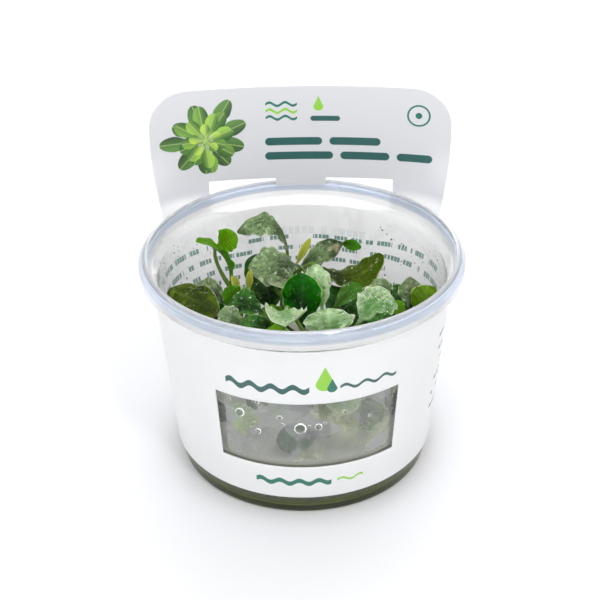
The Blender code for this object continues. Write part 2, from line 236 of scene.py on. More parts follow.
def end_tree(tree, geometry, material):
    """Every tree ends the same way: instances made real, shaded smooth, with a material."""
    real = add_node(tree, "GeometryNodeRealizeInstances", {0: geometry})
    smooth = add_node(tree, "GeometryNodeSetShadeSmooth", {0: real})
    done = add_node(tree, "GeometryNodeSetMaterial", {0: smooth, 2: material})
    out = tree.nodes.new("NodeGroupOutput")
    tree.links.new(done, out.inputs[0])


def grow(name, source, tree, **sizes):
    """Runs a tree on a source mesh and keeps what it makes as a plain mesh."""
    holder = bpy.data.objects.new(name + "_source", source)
    bpy.context.scene.collection.objects.link(holder)
    modifier = holder.modifiers.new("grow", "NODES")
    modifier.node_group = tree
    for entry in tree.interface.items_tree:
        key = entry.name.replace(" ", "_")
        if entry.in_out == "INPUT" and key in sizes:
            modifier[entry.identifier] = sizes[key]
    depsgraph = bpy.context.evaluated_depsgraph_get()
    mesh = bpy.data.meshes.new_from_object(holder.evaluated_get(depsgraph))
    holder.modifiers.remove(modifier)
    bpy.data.objects.remove(holder)
    mesh.name = name
    return mesh


def named(tree, label, kind="FLOAT"):
    """Reads an attribute that the source mesh carries."""
    return add_node(tree, "GeometryNodeInputNamedAttribute", {0: label}, data_type=kind)


def add_values(mesh, label, values, kind="FLOAT", domain="POINT"):
    """Stores one value for each point or face of a mesh."""
    attribute = mesh.attributes.new(label, kind, domain)
    key = "vector" if kind == "FLOAT_VECTOR" else "value"
    attribute.data.foreach_set(key, np.asarray(values, np.float32).ravel())


print("growing helpers ready")

# %% [markdown]
# ## The cup
#
# The real cup is injection moulded in clear plastic: a thin tapered wall, a foot ring, and a
# stiff flange with a skirt for the lid. It is a turned shape, so its profile could be spun by
# hand in bmesh or with the Screw modifier. Screw is used, with many more steps than the CAD
# solid has, and each corner of the profile is rounded with a short curve, as a mould would.

# %% Cup sizes
CUP_HEIGHT = 59.8
FLANGE_RADIUS = 42.0
SKIRT_BOTTOM = 55.3
WALL_FOOT_RADIUS = 33.4
WALL_TOP_RADIUS = 37.9
WALL_TOP = 53.2
WALL_THICK = 0.7
FOOT_OUTER = 33.0
FOOT_INNER = 27.0
FOOT_RECESS = 0.6
FLOOR_TOP = 1.4
TURN_STEPS = 160


def wall_radius(z):
    """Outer radius of the cup's tapered wall at height z."""
    return WALL_FOOT_RADIUS + (WALL_TOP_RADIUS - WALL_FOOT_RADIUS) * z / WALL_TOP


wall_lean = math.atan2(WALL_TOP_RADIUS - WALL_FOOT_RADIUS, WALL_TOP)
print("the wall leans", round(math.degrees(wall_lean), 1), "degrees")


# %% Turned shapes
def rounded(profile, reach, steps=4):
    """Softens every corner of a profile, but not its two ends, which lie on the axis."""
    points = [np.array(point, float) for point in profile]
    soft = [points[0]]
    for before, corner, after in zip(points, points[1:], points[2:]):
        into = min(reach, np.linalg.norm(corner - before) * 0.45)
        out = min(reach, np.linalg.norm(after - corner) * 0.45)
        start = corner + into * unit(before - corner)
        end = corner + out * unit(after - corner)
        for k in range(steps + 1):
            t = k / steps
            soft.append((1 - t) ** 2 * start + 2 * t * (1 - t) * corner + t * t * end)
    return soft + [points[-1]]


def turned_mesh(name, profile, steps):
    """Spins (radius, z) points about the axis with the Screw modifier."""
    line = bpy.data.meshes.new(name)
    points = [(MM * radius, 0.0, MM * z) for radius, z in profile]
    line.from_pydata(points, [(k, k + 1) for k in range(len(points) - 1)], [])
    item = bpy.data.objects.new(name + "_line", line)
    bpy.context.scene.collection.objects.link(item)
    screw = item.modifiers.new("turn", "SCREW")
    screw.angle = math.tau
    screw.steps = screw.render_steps = steps
    screw.use_merge_vertices = True
    screw.merge_threshold = 1e-6
    screw.use_smooth_shade = True
    settle(item)
    mesh = item.data
    bpy.data.objects.remove(item)
    return mesh


print("turning helpers ready")

# %% Cup shape
CUP_CORNER = 0.5
cup_profile = (
    (0.0, FLOOR_TOP),
    (31.4, FLOOR_TOP),
    (wall_radius(2.6) - WALL_THICK, 2.6),
    (WALL_TOP_RADIUS - WALL_THICK, WALL_TOP),
    (39.0, 55.2),
    (39.4, 59.0),
    (39.9, CUP_HEIGHT),
    (40.5, 59.7),
    (FLANGE_RADIUS, 58.0),
    (FLANGE_RADIUS, SKIRT_BOTTOM),
    (FLANGE_RADIUS - 0.6, SKIRT_BOTTOM),
    (FLANGE_RADIUS - 0.7, 57.7),
    (40.5, 58.3),
    (40.0, 57.7),
    (39.7, 54.9),
    (WALL_TOP_RADIUS, WALL_TOP - 0.3),
    (wall_radius(0.8), 0.8),
    (FOOT_OUTER, 0.0),
    (FOOT_INNER, 0.0),
    (FOOT_INNER - 0.6, FOOT_RECESS),
    (0.0, FOOT_RECESS),
)
cup_mesh = turned_mesh("cup_shell", rounded(cup_profile, CUP_CORNER), TURN_STEPS)
print("cup:", triangles(cup_mesh), "triangles")

# %% [markdown]
# Clear plastic is a transmission shader with its own index of refraction. Moulded plastic is
# never quite optical: it has a faint cool tint, which shows in the thick rim, and tiny flow
# ripples, which a weak bump gives. The tint is a volume absorption, so thin walls stay clear.
# Some of it goes by height: the rim is hazier and the foot ring greener. The faint blue on the
# rim's slope is a painted reflection, given as base colour.

# %% Clear plastic
RIM_EDGES = (52.5, 55.5)
SLOPE_FOOT_EDGES = (56.6, 57.3)
SLOPE_TOP_EDGES = (59.65, 59.3)
FOOT_EDGES = (5.5, 2.6)


def clear_plastic():
    material, tree, shader = start_material("clear_plastic", ior=1.47)
    place = object_place(tree)
    ripples = noise(tree, place, 90.0, 2.0)
    height = split(tree, place)[2]
    in_rim = height_ramp(tree, height, RIM_EDGES)
    slope_reflection = times(tree, height_ramp(tree, height, SLOPE_FOOT_EDGES),
                     height_ramp(tree, height, SLOPE_TOP_EDGES))
    in_foot = height_ramp(tree, height, FOOT_EDGES)
    # Painted reflection: the sloping face of the rim gets a faint blue base colour.
    colour = blend(tree, slope_reflection, paint("ffffff"), paint("e0e8f5"))
    tree.links.new(blend(tree, in_foot, colour, paint("d4e67e")), shader.inputs["Base Color"])
    grain = ramp(tree, noise(tree, place, 400.0, 3.0), 0.35, 0.8, 0.02, 0.08)
    haze = plus(tree, grain, times(tree, in_rim, 0.05))
    tree.links.new(haze, shader.inputs["Roughness"])
    clear = minus(tree, 0.98, times(tree, in_rim, 0.26))
    tree.links.new(clear, shader.inputs["Transmission Weight"])
    add_bump(tree, shader, ripples, 0.05, 0.5)
    tint = add_node(tree, "ShaderNodeVolumeAbsorption", {"Color": paint("c3d3f2"), "Density": 6.0})
    tree.links.new(tint, tree.nodes["Material Output"].inputs["Volume"])
    return material


place_piece("cup_shell", cup_mesh, clear_plastic(), ["cup"])
print("cup placed")

# %% [markdown]
# ## The gel
#
# The plantlets stand in a set layer of agar gel. It touches the wall, so the model's gel laps a
# little into the plastic: a gap of air there would shine like a mirror. Its top climbs at the
# wall and is slightly uneven, which a few sine waves give.

# %% Gel shape
GEL_TOP = 16.3
GEL_CLIMB = 0.9
GEL_LAP = 0.05
GEL_STEPS = 128


def gel_mesh():
    """A turned layer, whose flat top is then moved up and down a little."""
    edge = GEL_TOP + GEL_CLIMB
    inside = WALL_THICK - GEL_LAP
    inner = [(radius, GEL_TOP) for radius in np.linspace(0.0, 29.0, 24)]
    profile = inner + [
        (31.6, GEL_TOP + 0.1),
        (33.2, GEL_TOP + 0.4),
        (wall_radius(edge) - inside, edge),
        (wall_radius(2.8) - inside, 2.8),
        (31.0, FLOOR_TOP - GEL_LAP),
        (0.0, FLOOR_TOP - GEL_LAP),
    ]
    mesh = turned_mesh("gel_layer", profile, GEL_STEPS)
    for vertex in mesh.vertices:
        x, y, z = vertex.co / MM
        if z > GEL_TOP - 1:
            fade = smooth_step((33.0 - math.hypot(x, y)) / 6.0)
            wave = 0.22 * math.sin(0.45 * x + 0.8) * math.sin(0.38 * y)
            wave += 0.10 * math.sin(1.1 * x - 0.9 * y)
            vertex.co.z += MM * fade * wave
    return mesh


gel = gel_mesh()
print("gel:", triangles(gel), "triangles")

# %% [markdown]
# Gel is clear too, with a green tint by volume. Its top millimetres are milkier than the rest,
# and the edge that climbs the wall is milkier still.

# %% Clear gel
GEL_SKIN_EDGES = (12.0, 15.5)
GEL_CLIMB_EDGES = (15.9, 16.7)


def clear_gel():
    material, tree, shader = start_material("clear_gel", base_color=paint("f6f8e8"), ior=1.34)
    place = object_place(tree)
    height = split(tree, place)[2]
    clear = times(tree, height_ramp(tree, height, GEL_SKIN_EDGES, 1.0, 0.72),
                  height_ramp(tree, height, GEL_CLIMB_EDGES, 1.0, 0.55))
    tree.links.new(clear, shader.inputs["Transmission Weight"])
    cloud = ramp(tree, noise(tree, place, 160.0, 3.0), 0.3, 0.8, 0.02, 0.16)
    tree.links.new(cloud, shader.inputs["Roughness"])
    add_bump(tree, shader, noise(tree, place, 260.0, 2.0), 0.15, 0.4)
    green = {"Color": paint("aac63c"), "Density": 36.0}
    tint = add_node(tree, "ShaderNodeVolumeAbsorption", green)
    tree.links.new(tint, tree.nodes["Material Output"].inputs["Volume"])
    return material


place_piece("gel_layer", gel, clear_gel(), ["gel"])
print("gel placed, top at", GEL_TOP, "mm")

# %% [markdown]
# ## The printed sleeve
#
# Sleeve and tag are one die-cut sheet of white film: it goes round the cup as a band, leaves
# its back in two legs that pass outside the flange, and ends in the tag. It could be simulated,
# but a sheet that only bends one way is easier as a formula: a column is a distance along the
# band from the back centre, and a row is a height. The grid leaves out the window and the slot.

# %% Sheet sizes
SHEET_THICK = 0.35
SHEET_CLEAR = 0.5
BAND_RADIUS = 38.0
BAND_BOTTOM = 6.0
BAND_TOP = 52.8
WINDOW_BOTTOM = 16.2
WINDOW_TOP = 37.0
WINDOW_LEFT_ANGLE = 35.8
WINDOW_RIGHT_ANGLE = 39.3
LEG_INNER = 25.6
TAG_HALF_WIDTH = 40.8
TAG_BACK = 36.3
TAG_CURVE_RADIUS = 165.0
TAG_TOP = 89.4
TAG_CORNER = 10.5
SLOT_TOP = 62.2
TAB_HALF_WIDTH = 7.0
TAB_BOTTOM = 59.8
BEND_START = 28.0
BEND_HEIGHT = 30.0
BEND_INNER = 15.0
BEND_OUTER = 64.0
BEND_LIFT = 20.0
FRONT_COLUMN = math.pi * BAND_RADIUS
WINDOW_LEFT = FRONT_COLUMN - math.radians(WINDOW_LEFT_ANGLE) * BAND_RADIUS
WINDOW_RIGHT = FRONT_COLUMN - math.radians(WINDOW_RIGHT_ANGLE) * BAND_RADIUS
SHEET_STEP = 1.6
print("the band is", round(2 * FRONT_COLUMN), "mm long")


# %% Sheet shape
def band_point(column, z):
    angle = column / BAND_RADIUS
    radius = wall_radius(min(z, WALL_TOP)) + SHEET_CLEAR + SHEET_THICK / 2
    return np.array([radius * math.sin(angle), radius * math.cos(angle), z])


def tag_half_width(z):
    corner = max(z - (TAG_TOP - TAG_CORNER), 0.0)
    return TAG_HALF_WIDTH - TAG_CORNER + math.sqrt(TAG_CORNER ** 2 - corner ** 2)


def tag_point(column, z):
    x = column * tag_half_width(z) / TAG_HALF_WIDTH
    return np.array([x, TAG_BACK - x * x / (2 * TAG_CURVE_RADIUS), z])


def sheet_point(column, z):
    """Blends the band into the tag along the legs, which bend out round the flange."""
    across = abs(column)
    share = smooth_step((z - BEND_START) / BEND_HEIGHT)
    if z < BAND_TOP + 0.01:
        share *= smooth_step((across - BEND_INNER) / (LEG_INNER - BEND_INNER))
    hold = smooth_step((BEND_OUTER - across) / (BEND_OUTER - LEG_INNER))
    hold += (1 - hold) * smooth_step((z - BAND_TOP) / BEND_LIFT)
    share *= hold
    return (1 - share) * band_point(column, z) + share * tag_point(column, z)


def sheet_has(column, z):
    """True where the die-cut sheet has material."""
    across = abs(column)
    if z < BAND_TOP:
        edge = WINDOW_RIGHT if column > 0 else WINDOW_LEFT
        return across < edge or not WINDOW_BOTTOM < z < WINDOW_TOP
    if z > SLOT_TOP:
        return across < TAG_HALF_WIDTH
    if z > TAB_BOTTOM and across < TAB_HALF_WIDTH:
        return True
    return LEG_INNER < across < TAG_HALF_WIDTH


print("the top of the tag is", round(2 * tag_half_width(TAG_TOP)), "mm wide between its corners")


# %% Sheet grid
def filled(marks, step):
    """Places from mark to mark, with enough between them to be no further apart than step."""
    places = []
    for low, high in zip(marks, marks[1:]):
        count = max(1, math.ceil((high - low) / step))
        places += [low + (high - low) * k / count for k in range(count)]
    return places + [marks[-1]]


tag_marks = [0.0, TAB_HALF_WIDTH, LEG_INNER, TAG_HALF_WIDTH]
left_columns = filled(tag_marks + [WINDOW_LEFT, FRONT_COLUMN], SHEET_STEP)
right_columns = filled(tag_marks + [WINDOW_RIGHT, FRONT_COLUMN], SHEET_STEP)
columns = [-column for column in left_columns[:0:-1]] + right_columns
row_marks = [BAND_BOTTOM, WINDOW_BOTTOM, WINDOW_TOP, BAND_TOP, TAB_BOTTOM, SLOT_TOP,
             TAG_TOP - TAG_CORNER]
corner_rows = [TAG_TOP - TAG_CORNER * (1 - math.sin(math.pi * k / 20)) for k in range(1, 11)]
rows = filled(row_marks, SHEET_STEP) + corner_rows
print("sheet grid:", len(columns), "columns,", len(rows), "rows")

# %% [markdown]
# The print is laid out flat, so the sheet carries two UV maps in units of 100 mm: `tag_side`,
# centred on the back, and `window_side`, centred on the front, where the sheet's ends meet.
# Solidify then gives it its thickness, with one material for each side and one for the cut.

# %% Sheet mesh
PRINT_UNIT = 100.0


def sheet_mesh():
    points = []
    index = {}
    faces = []
    flat = []

    def corner(i, j):
        wrapped = i % (len(columns) - 1)
        if (wrapped, j) not in index:
            index[wrapped, j] = len(points)
            points.append(sheet_point(columns[wrapped], rows[j]))
        return index[wrapped, j]

    for j in range(len(rows) - 1):
        for i in range(len(columns) - 1):
            middle = (columns[i] + columns[i + 1]) / 2
            if sheet_has(middle, (rows[j] + rows[j + 1]) / 2):
                around = ((i, j + 1), (i + 1, j + 1), (i + 1, j), (i, j))
                faces.append([corner(*place) for place in around])
                flat += [(columns[a], rows[b], middle) for a, b in around]
    mesh = mesh_of("printed_sheet", points, faces)
    tag_side = mesh.uv_layers.new(name="tag_side")
    window_side = mesh.uv_layers.new(name="window_side")
    for loop, (column, z, middle) in enumerate(flat):
        across = column * tag_half_width(max(z, SLOT_TOP)) / TAG_HALF_WIDTH
        tag_side.data[loop].uv = (across / PRINT_UNIT, z / PRINT_UNIT)
        turn = FRONT_COLUMN - column if middle > 0 else -FRONT_COLUMN - column
        window_side.data[loop].uv = (turn / PRINT_UNIT, z / PRINT_UNIT)
    return mesh


sheet = sheet_mesh()
facing = sheet.polygons[0].normal.dot(sheet.polygons[0].center)
print("first face looks", "outwards" if facing > 0 else "inwards")

# %% [markdown]
# What is printed is drawn by shader nodes on those maps, with no image. Each helper below
# returns a mask: 1 where the ink is. A bar is a rounded box, a wave is a sine line, and a
# rosette of leaves uses the angle round a point, cut into equal slices.


# %% Mark helpers
def flat_place(tree, layer):
    """The sheet's own millimetres: across and up."""
    uv = add_node(tree, "ShaderNodeUVMap", uv_map=layer)
    scaled = add_node(tree, "ShaderNodeVectorMath", {0: uv, 3: PRINT_UNIT}, operation="SCALE")
    return split(tree, scaled)[:2]


def within(tree, value, limit, soft=0.08):
    """1 where a value is under its limit, fading from soft inside it to soft outside it."""
    return ramp(tree, minus(tree, limit, value), -soft, soft)


def offset(tree, value, middle):
    return calc(tree, "ABSOLUTE", minus(tree, value, middle))


def distance(tree, across, up):
    """How far a point is from the origin."""
    flat = add_node(tree, "ShaderNodeCombineXYZ", {0: across, 1: up})
    return add_node(tree, "ShaderNodeVectorMath", {0: flat}, out=1, operation="LENGTH")


def random_share(tree, first, second):
    """A share from 0 to 1 that is always the same for the same two numbers."""
    pair = add_node(tree, "ShaderNodeCombineXYZ", {0: first, 1: second})
    return add_node(tree, "ShaderNodeTexWhiteNoise", {0: pair})


print("mark helpers ready")


# %% Bars, waves, rings and drops
def bar(tree, across, up, left, right, middle, height):
    """A bar with round ends."""
    half = height / 2
    gap = minus(tree, offset(tree, across, (left + right) / 2), (right - left) / 2 - half)
    beyond = calc(tree, "MAXIMUM", gap, 0.0)
    return within(tree, distance(tree, beyond, minus(tree, up, middle)), half)


def wave(tree, across, up, left, right, middle, rise, length, thick):
    """A sine line from left to right."""
    phase = times(tree, minus(tree, across, left), math.tau / length)
    line = plus(tree, times(tree, calc(tree, "SINE", phase), rise), middle)
    on_line = within(tree, calc(tree, "ABSOLUTE", minus(tree, up, line)), thick / 2)
    between = within(tree, offset(tree, across, (left + right) / 2), (right - left) / 2)
    return times(tree, on_line, between)


def spot(tree, across, up, x, z, radius):
    return within(tree, distance(tree, minus(tree, across, x), minus(tree, up, z)), radius)


def ring(tree, across, up, x, z, radius, thick):
    gap = distance(tree, minus(tree, across, x), minus(tree, up, z))
    return within(tree, offset(tree, gap, radius), thick / 2)


def drop(tree, across, up, x, z, radius):
    """A water drop: a disc whose upper half narrows to a point."""
    rise = minus(tree, up, z)
    lift = calc(tree, "DIVIDE", calc(tree, "MAXIMUM", rise, 0.0), 2.2 * radius)
    narrow = calc(tree, "MAXIMUM", minus(tree, 1.0, lift), 0.02)
    side = calc(tree, "DIVIDE", minus(tree, across, x), narrow)
    gap = distance(tree, side, calc(tree, "MINIMUM", rise, 0.0))
    return times(tree, within(tree, gap, radius), within(tree, rise, 2.1 * radius))


print("marks: bar, wave, spot, ring, drop")


# %% Rows of dashes
DASH_LENGTH = 2.6
WORD_LENGTH = 6.4


def word_rows(tree, across, up, left, right, low, high, pitch, height, letter=DASH_LENGTH):
    """Rows of short dashes, set like lines of small print."""
    row = calc(tree, "DIVIDE", minus(tree, up, low), pitch)
    count = calc(tree, "FLOOR", row)
    cell = plus(tree, calc(tree, "DIVIDE", across, letter), times(tree, count, 0.37))
    picked = random_share(tree, calc(tree, "FLOOR", cell), count)
    present = calc(tree, "GREATER_THAN", picked, 0.22)
    word_end = plus(tree, times(tree, picked, 0.35), 0.62)
    in_word = calc(tree, "LESS_THAN", calc(tree, "FRACT", cell), word_end)
    off_row = times(tree, offset(tree, calc(tree, "FRACT", row), 0.5), pitch)
    in_row = within(tree, off_row, height / 2)
    in_width = within(tree, offset(tree, across, (left + right) / 2), (right - left) / 2)
    in_height = within(tree, offset(tree, up, (low + high) / 2), (high - low) / 2)
    for mask in (in_word, in_row, times(tree, in_width, in_height)):
        present = times(tree, present, mask)
    return present


def lettered_rows(tree, across, up, left, right, low, high, pitch, height, letter):
    """Rows of longer dashes, each cut into pieces as short as a letter."""
    area = (left, right, low, high, pitch, height)
    words = word_rows(tree, across, up, *area, WORD_LENGTH)
    letters = word_rows(tree, across, up, *area, letter)
    return times(tree, words, letters)


print("rows of dashes ready")


# %% Printed rosette
def rosette(tree, across, up, x, z, reach, count, blade, seed, dark, light, under):
    """Lays one ring of round-tipped leaves over the colour under it."""
    right = minus(tree, across, x)
    rise = minus(tree, up, z)
    radius = distance(tree, right, rise)
    slice_turn = math.tau / count
    turn = calc(tree, "DIVIDE", calc(tree, "ARCTAN2", rise, right), slice_turn)
    turn = plus(tree, turn, 0.37 * seed)
    nearest = calc(tree, "ROUND", turn)
    slice_number = calc(tree, "WRAP", nearest, float(count), 0.0)
    picked = random_share(tree, slice_number, float(seed))
    lean = times(tree, minus(tree, picked, 0.5), 0.35)
    angle = times(tree, plus(tree, minus(tree, turn, nearest), lean), slice_turn)
    side = times(tree, radius, calc(tree, "SINE", angle))
    length = times(tree, plus(tree, times(tree, picked, 0.35), 0.68), reach)
    along = calc(tree, "DIVIDE", times(tree, radius, calc(tree, "COSINE", angle)), length)
    tip = calc(tree, "MAXIMUM", minus(tree, 1.0, calc(tree, "POWER", along, 5.0)), 0.0)
    width = times(tree, ramp(tree, along, 0.2, 0.72, 0.12, 1.0), calc(tree, "SQRT", tip))
    width = times(tree, width, blade)
    mask = within(tree, calc(tree, "ABSOLUTE", side), width, 0.12)
    mask = times(tree, mask, within(tree, along, 1.0, 0.01))
    tone = times(tree, ramp(tree, side, -blade, blade), plus(tree, picked, 0.4))
    leaf = blend(tree, tone, dark, light)
    rib = within(tree, calc(tree, "ABSOLUTE", side), 0.14, 0.1)
    leaf = blend(tree, times(tree, rib, 0.5), leaf, paint("b9cf86"))
    return blend(tree, mask, under, leaf)


print("rosette ready")

# %% [markdown]
# The film is white with a soft satin print. The tag side holds a generic rosette in place of a
# picture, wave and drop icons, bars in place of a title, and rows of dashes on the inside of
# the band, under a faint heading. The window side has a drop between two waves, waves again
# under the window, rows of dashes at one side and a heading at the back. None of it can be read.

# %% Print colours and places
TEAL = paint("1f6f5f")
DEEP_TEAL = paint("2b5a57")
LIME = paint("8cc63f")
INK_GREY = paint("5b8a7c")
ROSETTE_PLACE = (-26.0, 74.6)
ROSETTE_RINGS = (
    (13.2, 9, 2.5, 1, "36502f", "5e8a45"),
    (11.0, 8, 2.3, 2, "2f5a2c", "7da94a"),
    (8.2, 7, 2.0, 4, "3f6a35", "9cc552"),
    (4.8, 5, 1.5, 7, "4c7a38", "b4d458"),
)
TITLE_BARS = (
    (-9.7, 6.0, 73.3), (8.0, 22.0, 73.3),
    (-9.8, 9.0, 69.0), (11.0, 24.5, 69.0), (26.5, 36.2, 69.0),
)
TITLE_BAR_HEIGHT = 2.3
WINDOW_WAVES = (
    (-20.0, 1.4, 41.6, 0.75, 1.7, DEEP_TEAL), (9.0, 24.6, 41.6, 0.6, 0.9, DEEP_TEAL),
    (-13.5, 7.4, 11.3, 0.55, 1.5, TEAL), (9.0, 16.6, 11.3, 0.5, 0.7, LIME),
)
WINDOW_WAVE_LENGTH = 5.35
HEADING_AREA = (43.4, 46.4, 3.0, 2.2)
BACK_HEADINGS = ((100.4, FRONT_COLUMN), (-FRONT_COLUMN, 7.0 - FRONT_COLUMN))
TAG_FOOT_EDGES = (55.0, 60.0)
print(len(ROSETTE_RINGS), "rings of printed leaves,", len(TITLE_BARS), "title bars")


# %% Film materials
def film_base(name, band_white_and_painted_light):
    """White film. What stands above the slot, the tag, is a light grey all over."""
    material, tree, shader = start_material(
        name, ior=1.5, coat_weight=0.25, coat_roughness=0.25, subsurface_weight=1.0)
    shader.inputs["Subsurface Scale"].default_value = 1.5 * MM
    shader.inputs["Subsurface Radius"].default_value = (1.0, 1.0, 1.0)
    place = object_place(tree)
    in_tag = height_ramp(tree, split(tree, place)[2], TAG_FOOT_EDGES)
    tree.links.new(minus(tree, 1.0, times(tree, in_tag, 0.9)), shader.inputs["Subsurface Weight"])
    # Below the slot the white is this side's band white, which carries painted light and shade:
    # whiter inside the cup, a cooler grey outside.
    white = blend(tree, in_tag, paint(band_white_and_painted_light), paint("cfd0d4"))
    cast = ramp(tree, noise(tree, place, 55.0, 3.0), 0.0, 1.0, 0.0, 0.05)
    white = blend(tree, cast, white, paint("c8ccd6"))
    satin = ramp(tree, noise(tree, place, 300.0), 0.3, 0.8, 0.30, 0.42)
    tree.links.new(satin, shader.inputs["Roughness"])
    add_bump(tree, shader, noise(tree, place, 1500.0, 2.0), 0.004, 0.5)
    return material, tree, shader, white


def film_tag_side():
    # The inner side's near-pure white is painted light inside the cup.
    material, tree, shader, colour = film_base("film_tag_side", "fdfdfe")
    across, up = flat_place(tree, "tag_side")
    x, z = ROSETTE_PLACE
    for reach, count, blade, seed, dark, light in ROSETTE_RINGS:
        colour = rosette(tree, across, up, x, z, reach, count, blade, seed,
                         paint(dark), paint(light), colour)
    for left, right, middle in TITLE_BARS:
        title = bar(tree, across, up, left, right, middle, TITLE_BAR_HEIGHT)
        colour = blend(tree, title, colour, DEEP_TEAL)
    for middle, ink in ((84.3, TEAL), (82.3, LIME), (80.3, TEAL)):
        line = wave(tree, across, up, -9.4, -0.8, middle, 0.5, 4.3, 0.75)
        colour = blend(tree, line, colour, ink)
    colour = blend(tree, drop(tree, across, up, 5.0, 83.6, 1.35), colour, LIME)
    colour = blend(tree, bar(tree, across, up, 2.8, 10.9, 80.0, 1.5), colour, DEEP_TEAL)
    colour = blend(tree, ring(tree, across, up, 32.1, 81.6, 2.9, 0.5), colour, TEAL)
    colour = blend(tree, spot(tree, across, up, 32.1, 81.6, 0.9), colour, TEAL)
    heading = word_rows(tree, across, up, -7.0, 19.0, *HEADING_AREA, 1.9)
    colour = blend(tree, times(tree, heading, 0.25), colour, INK_GREY)
    text = lettered_rows(tree, across, up, -52.0, 52.0, 27.7, 44.7, 3.4, 1.3, 1.1)
    colour = blend(tree, text, colour, INK_GREY)
    tree.links.new(colour, shader.inputs["Base Color"])
    return material


def film_window_side():
    # The outer side's cooler grey white is painted shade.
    material, tree, shader, colour = film_base("film_window_side", "eff3fa")
    across, up = flat_place(tree, "window_side")
    for left, right, middle, rise, thick, ink in WINDOW_WAVES:
        line = wave(tree, across, up, left, right, middle, rise, WINDOW_WAVE_LENGTH, thick)
        colour = blend(tree, line, colour, ink)
    colour = blend(tree, drop(tree, across, up, 5.2, 43.2, 2.3), colour, LIME)
    colour = blend(tree, drop(tree, across, up, 7.0, 41.6, 1.3), colour, TEAL)
    lines = word_rows(tree, across, up, 44.0, 82.0, 17.0, 44.0, 4.5, 1.0)
    colour = blend(tree, lines, colour, DEEP_TEAL)
    for left, right in BACK_HEADINGS:
        heading = lettered_rows(tree, across, up, left, right, *HEADING_AREA, 1.2)
        colour = blend(tree, heading, colour, DEEP_TEAL)
    tree.links.new(colour, shader.inputs["Base Color"])
    return material


def film_cut_edge():
    material, tree, shader, colour = film_base("film_cut_edge", "f2f4f8")
    tree.links.new(colour, shader.inputs["Base Color"])
    return material


print("film materials ready")

# %% Printed sleeve
sleeve = place_piece("printed_sheet", sheet, None, ["printed_sleeve"])
for film in (film_window_side(), film_tag_side(), film_cut_edge()):
    sheet.materials.append(film)
solid = sleeve.modifiers.new("thickness", "SOLIDIFY")
solid.thickness = MM * SHEET_THICK
solid.offset = 0.0
solid.use_even_offset = True
solid.material_offset = 1
solid.material_offset_rim = 2
settle(sleeve)
sleeve.data.shade_smooth()
sleeve.data.set_sharp_from_angle(angle=math.radians(40))
print("sleeve:", triangles(sleeve.data), "triangles")

# %% [markdown]
# ## Stems
#
# Each plantlet has one short upright stem, which thickens at the foot and keeps a ring where an
# old leaf fell. A tube that follows a path is what Curve to Mesh is for: the path is a polyline
# with a `thick` value at each point, and the tree adds the rings and a little unevenness.

# %% Stem rows
STEM_FOOT = 16.9
STEM_START = 14.6
STEM_BOW = 1.2
STEM_TAPER = 0.45
Stem = namedtuple("Stem", "foot top radius")
STEMS = (
    Stem((-16, 1), (-17.8, 2, 47), 1.7),
    Stem((-5, 5), (-4, 7, 48), 1.3),
    Stem((3, -5), (3, -7, 46), 1.3),
    Stem((13, 5), (14, 5, 45), 1.3),
    Stem((23, -9), (25, -8, 43), 1.2),
    Stem((-13, -15), (-14, -14, 45), 1.3),
    Stem((6, -22), (5, -22, 45), 1.2),
)


def stem_point(stem, share):
    """A point on a stem's axis, which bows a little to one side."""
    foot = np.array([*stem.foot, STEM_FOOT], float)
    top = np.array(stem.top, float)
    side = np.cross(unit(top - foot), (0.0, 1.0, 0.0))
    return foot + share * (top - foot) + side * STEM_BOW * math.sin(math.pi * share)


def stem_radius(stem, share):
    return stem.radius * (1 - STEM_TAPER * share)


print(len(STEMS), "stems, up to", max(stem.top[2] for stem in STEMS), "mm high")


# %% Stem tree
def tube_tree(name, material, **sizes):
    """A tube along a polyline: ring scars, then a small wobble from noise."""
    tree, given = start_tree(name, **sizes)
    path = add_node(tree, "GeometryNodeMeshToCurve", {0: given["Geometry"]})
    path = add_node(tree, "GeometryNodeResampleCurve", {0: path, 3: given["Step"]}, mode="LENGTH")
    along = add_node(tree, "GeometryNodeSplineParameter", out=1)
    turns = calc(tree, "DIVIDE", math.tau, given["Scar Pitch"])
    swing = calc(tree, "ABSOLUTE", calc(tree, "SINE", times(tree, along, turns)))
    scar = times(tree, calc(tree, "POWER", swing, 8.0), given["Scar Depth"])
    scale = times(tree, named(tree, "thick"), plus(tree, scar, 1.0))
    profile = add_node(tree, "GeometryNodeCurvePrimitiveCircle", {0: given["Sides"], 4: MM})
    tube = add_node(tree, "GeometryNodeCurveToMesh", {0: path, 1: profile, 2: scale, 3: True})
    place = add_node(tree, "GeometryNodeInputPosition")
    rough = noise(tree, place, given["Wobble Scale"], 2.0, out=1)
    centred = {0: rough, 1: (0.5, 0.5, 0.5)}
    wobble = add_node(tree, "ShaderNodeVectorMath", centred, operation="SUBTRACT")
    scaled = {0: wobble, 3: given["Wobble"]}
    push = add_node(tree, "ShaderNodeVectorMath", scaled, operation="SCALE")
    end_tree(tree, add_node(tree, "GeometryNodeSetPosition", {0: tube, 3: push}), material)
    return tree


def path_mesh(name, paths):
    """Polylines as one mesh. Each path is a list of (point, thickness) pairs."""
    points = []
    edges = []
    thick = []
    for path in paths:
        start = len(points)
        points += [MM * point for point, _ in path]
        thick += [width for _, width in path]
        edges += [(k, k + 1) for k in range(start, len(points) - 1)]
    mesh = bpy.data.meshes.new(name)
    mesh.from_pydata([tuple(point) for point in points], edges, [])
    add_values(mesh, "thick", thick)
    return mesh


def stem_path(stem):
    """From inside the gel to the rounded top."""
    shares = np.linspace(0.0, 1.0, 24)
    path = [(stem_point(stem, share), stem_radius(stem, share)) for share in shares]
    foot, radius = path[0]
    down = np.array([0.0, 0.0, STEM_START - STEM_FOOT])
    path.insert(0, (foot + down, 0.8 * radius))
    top, radius = path[-1]
    up = unit(top - path[-2][0])
    return path + [(top + 0.35 * up, 0.8 * radius), (top + 0.55 * up, 0.35 * radius)]


print("tube tree ready")


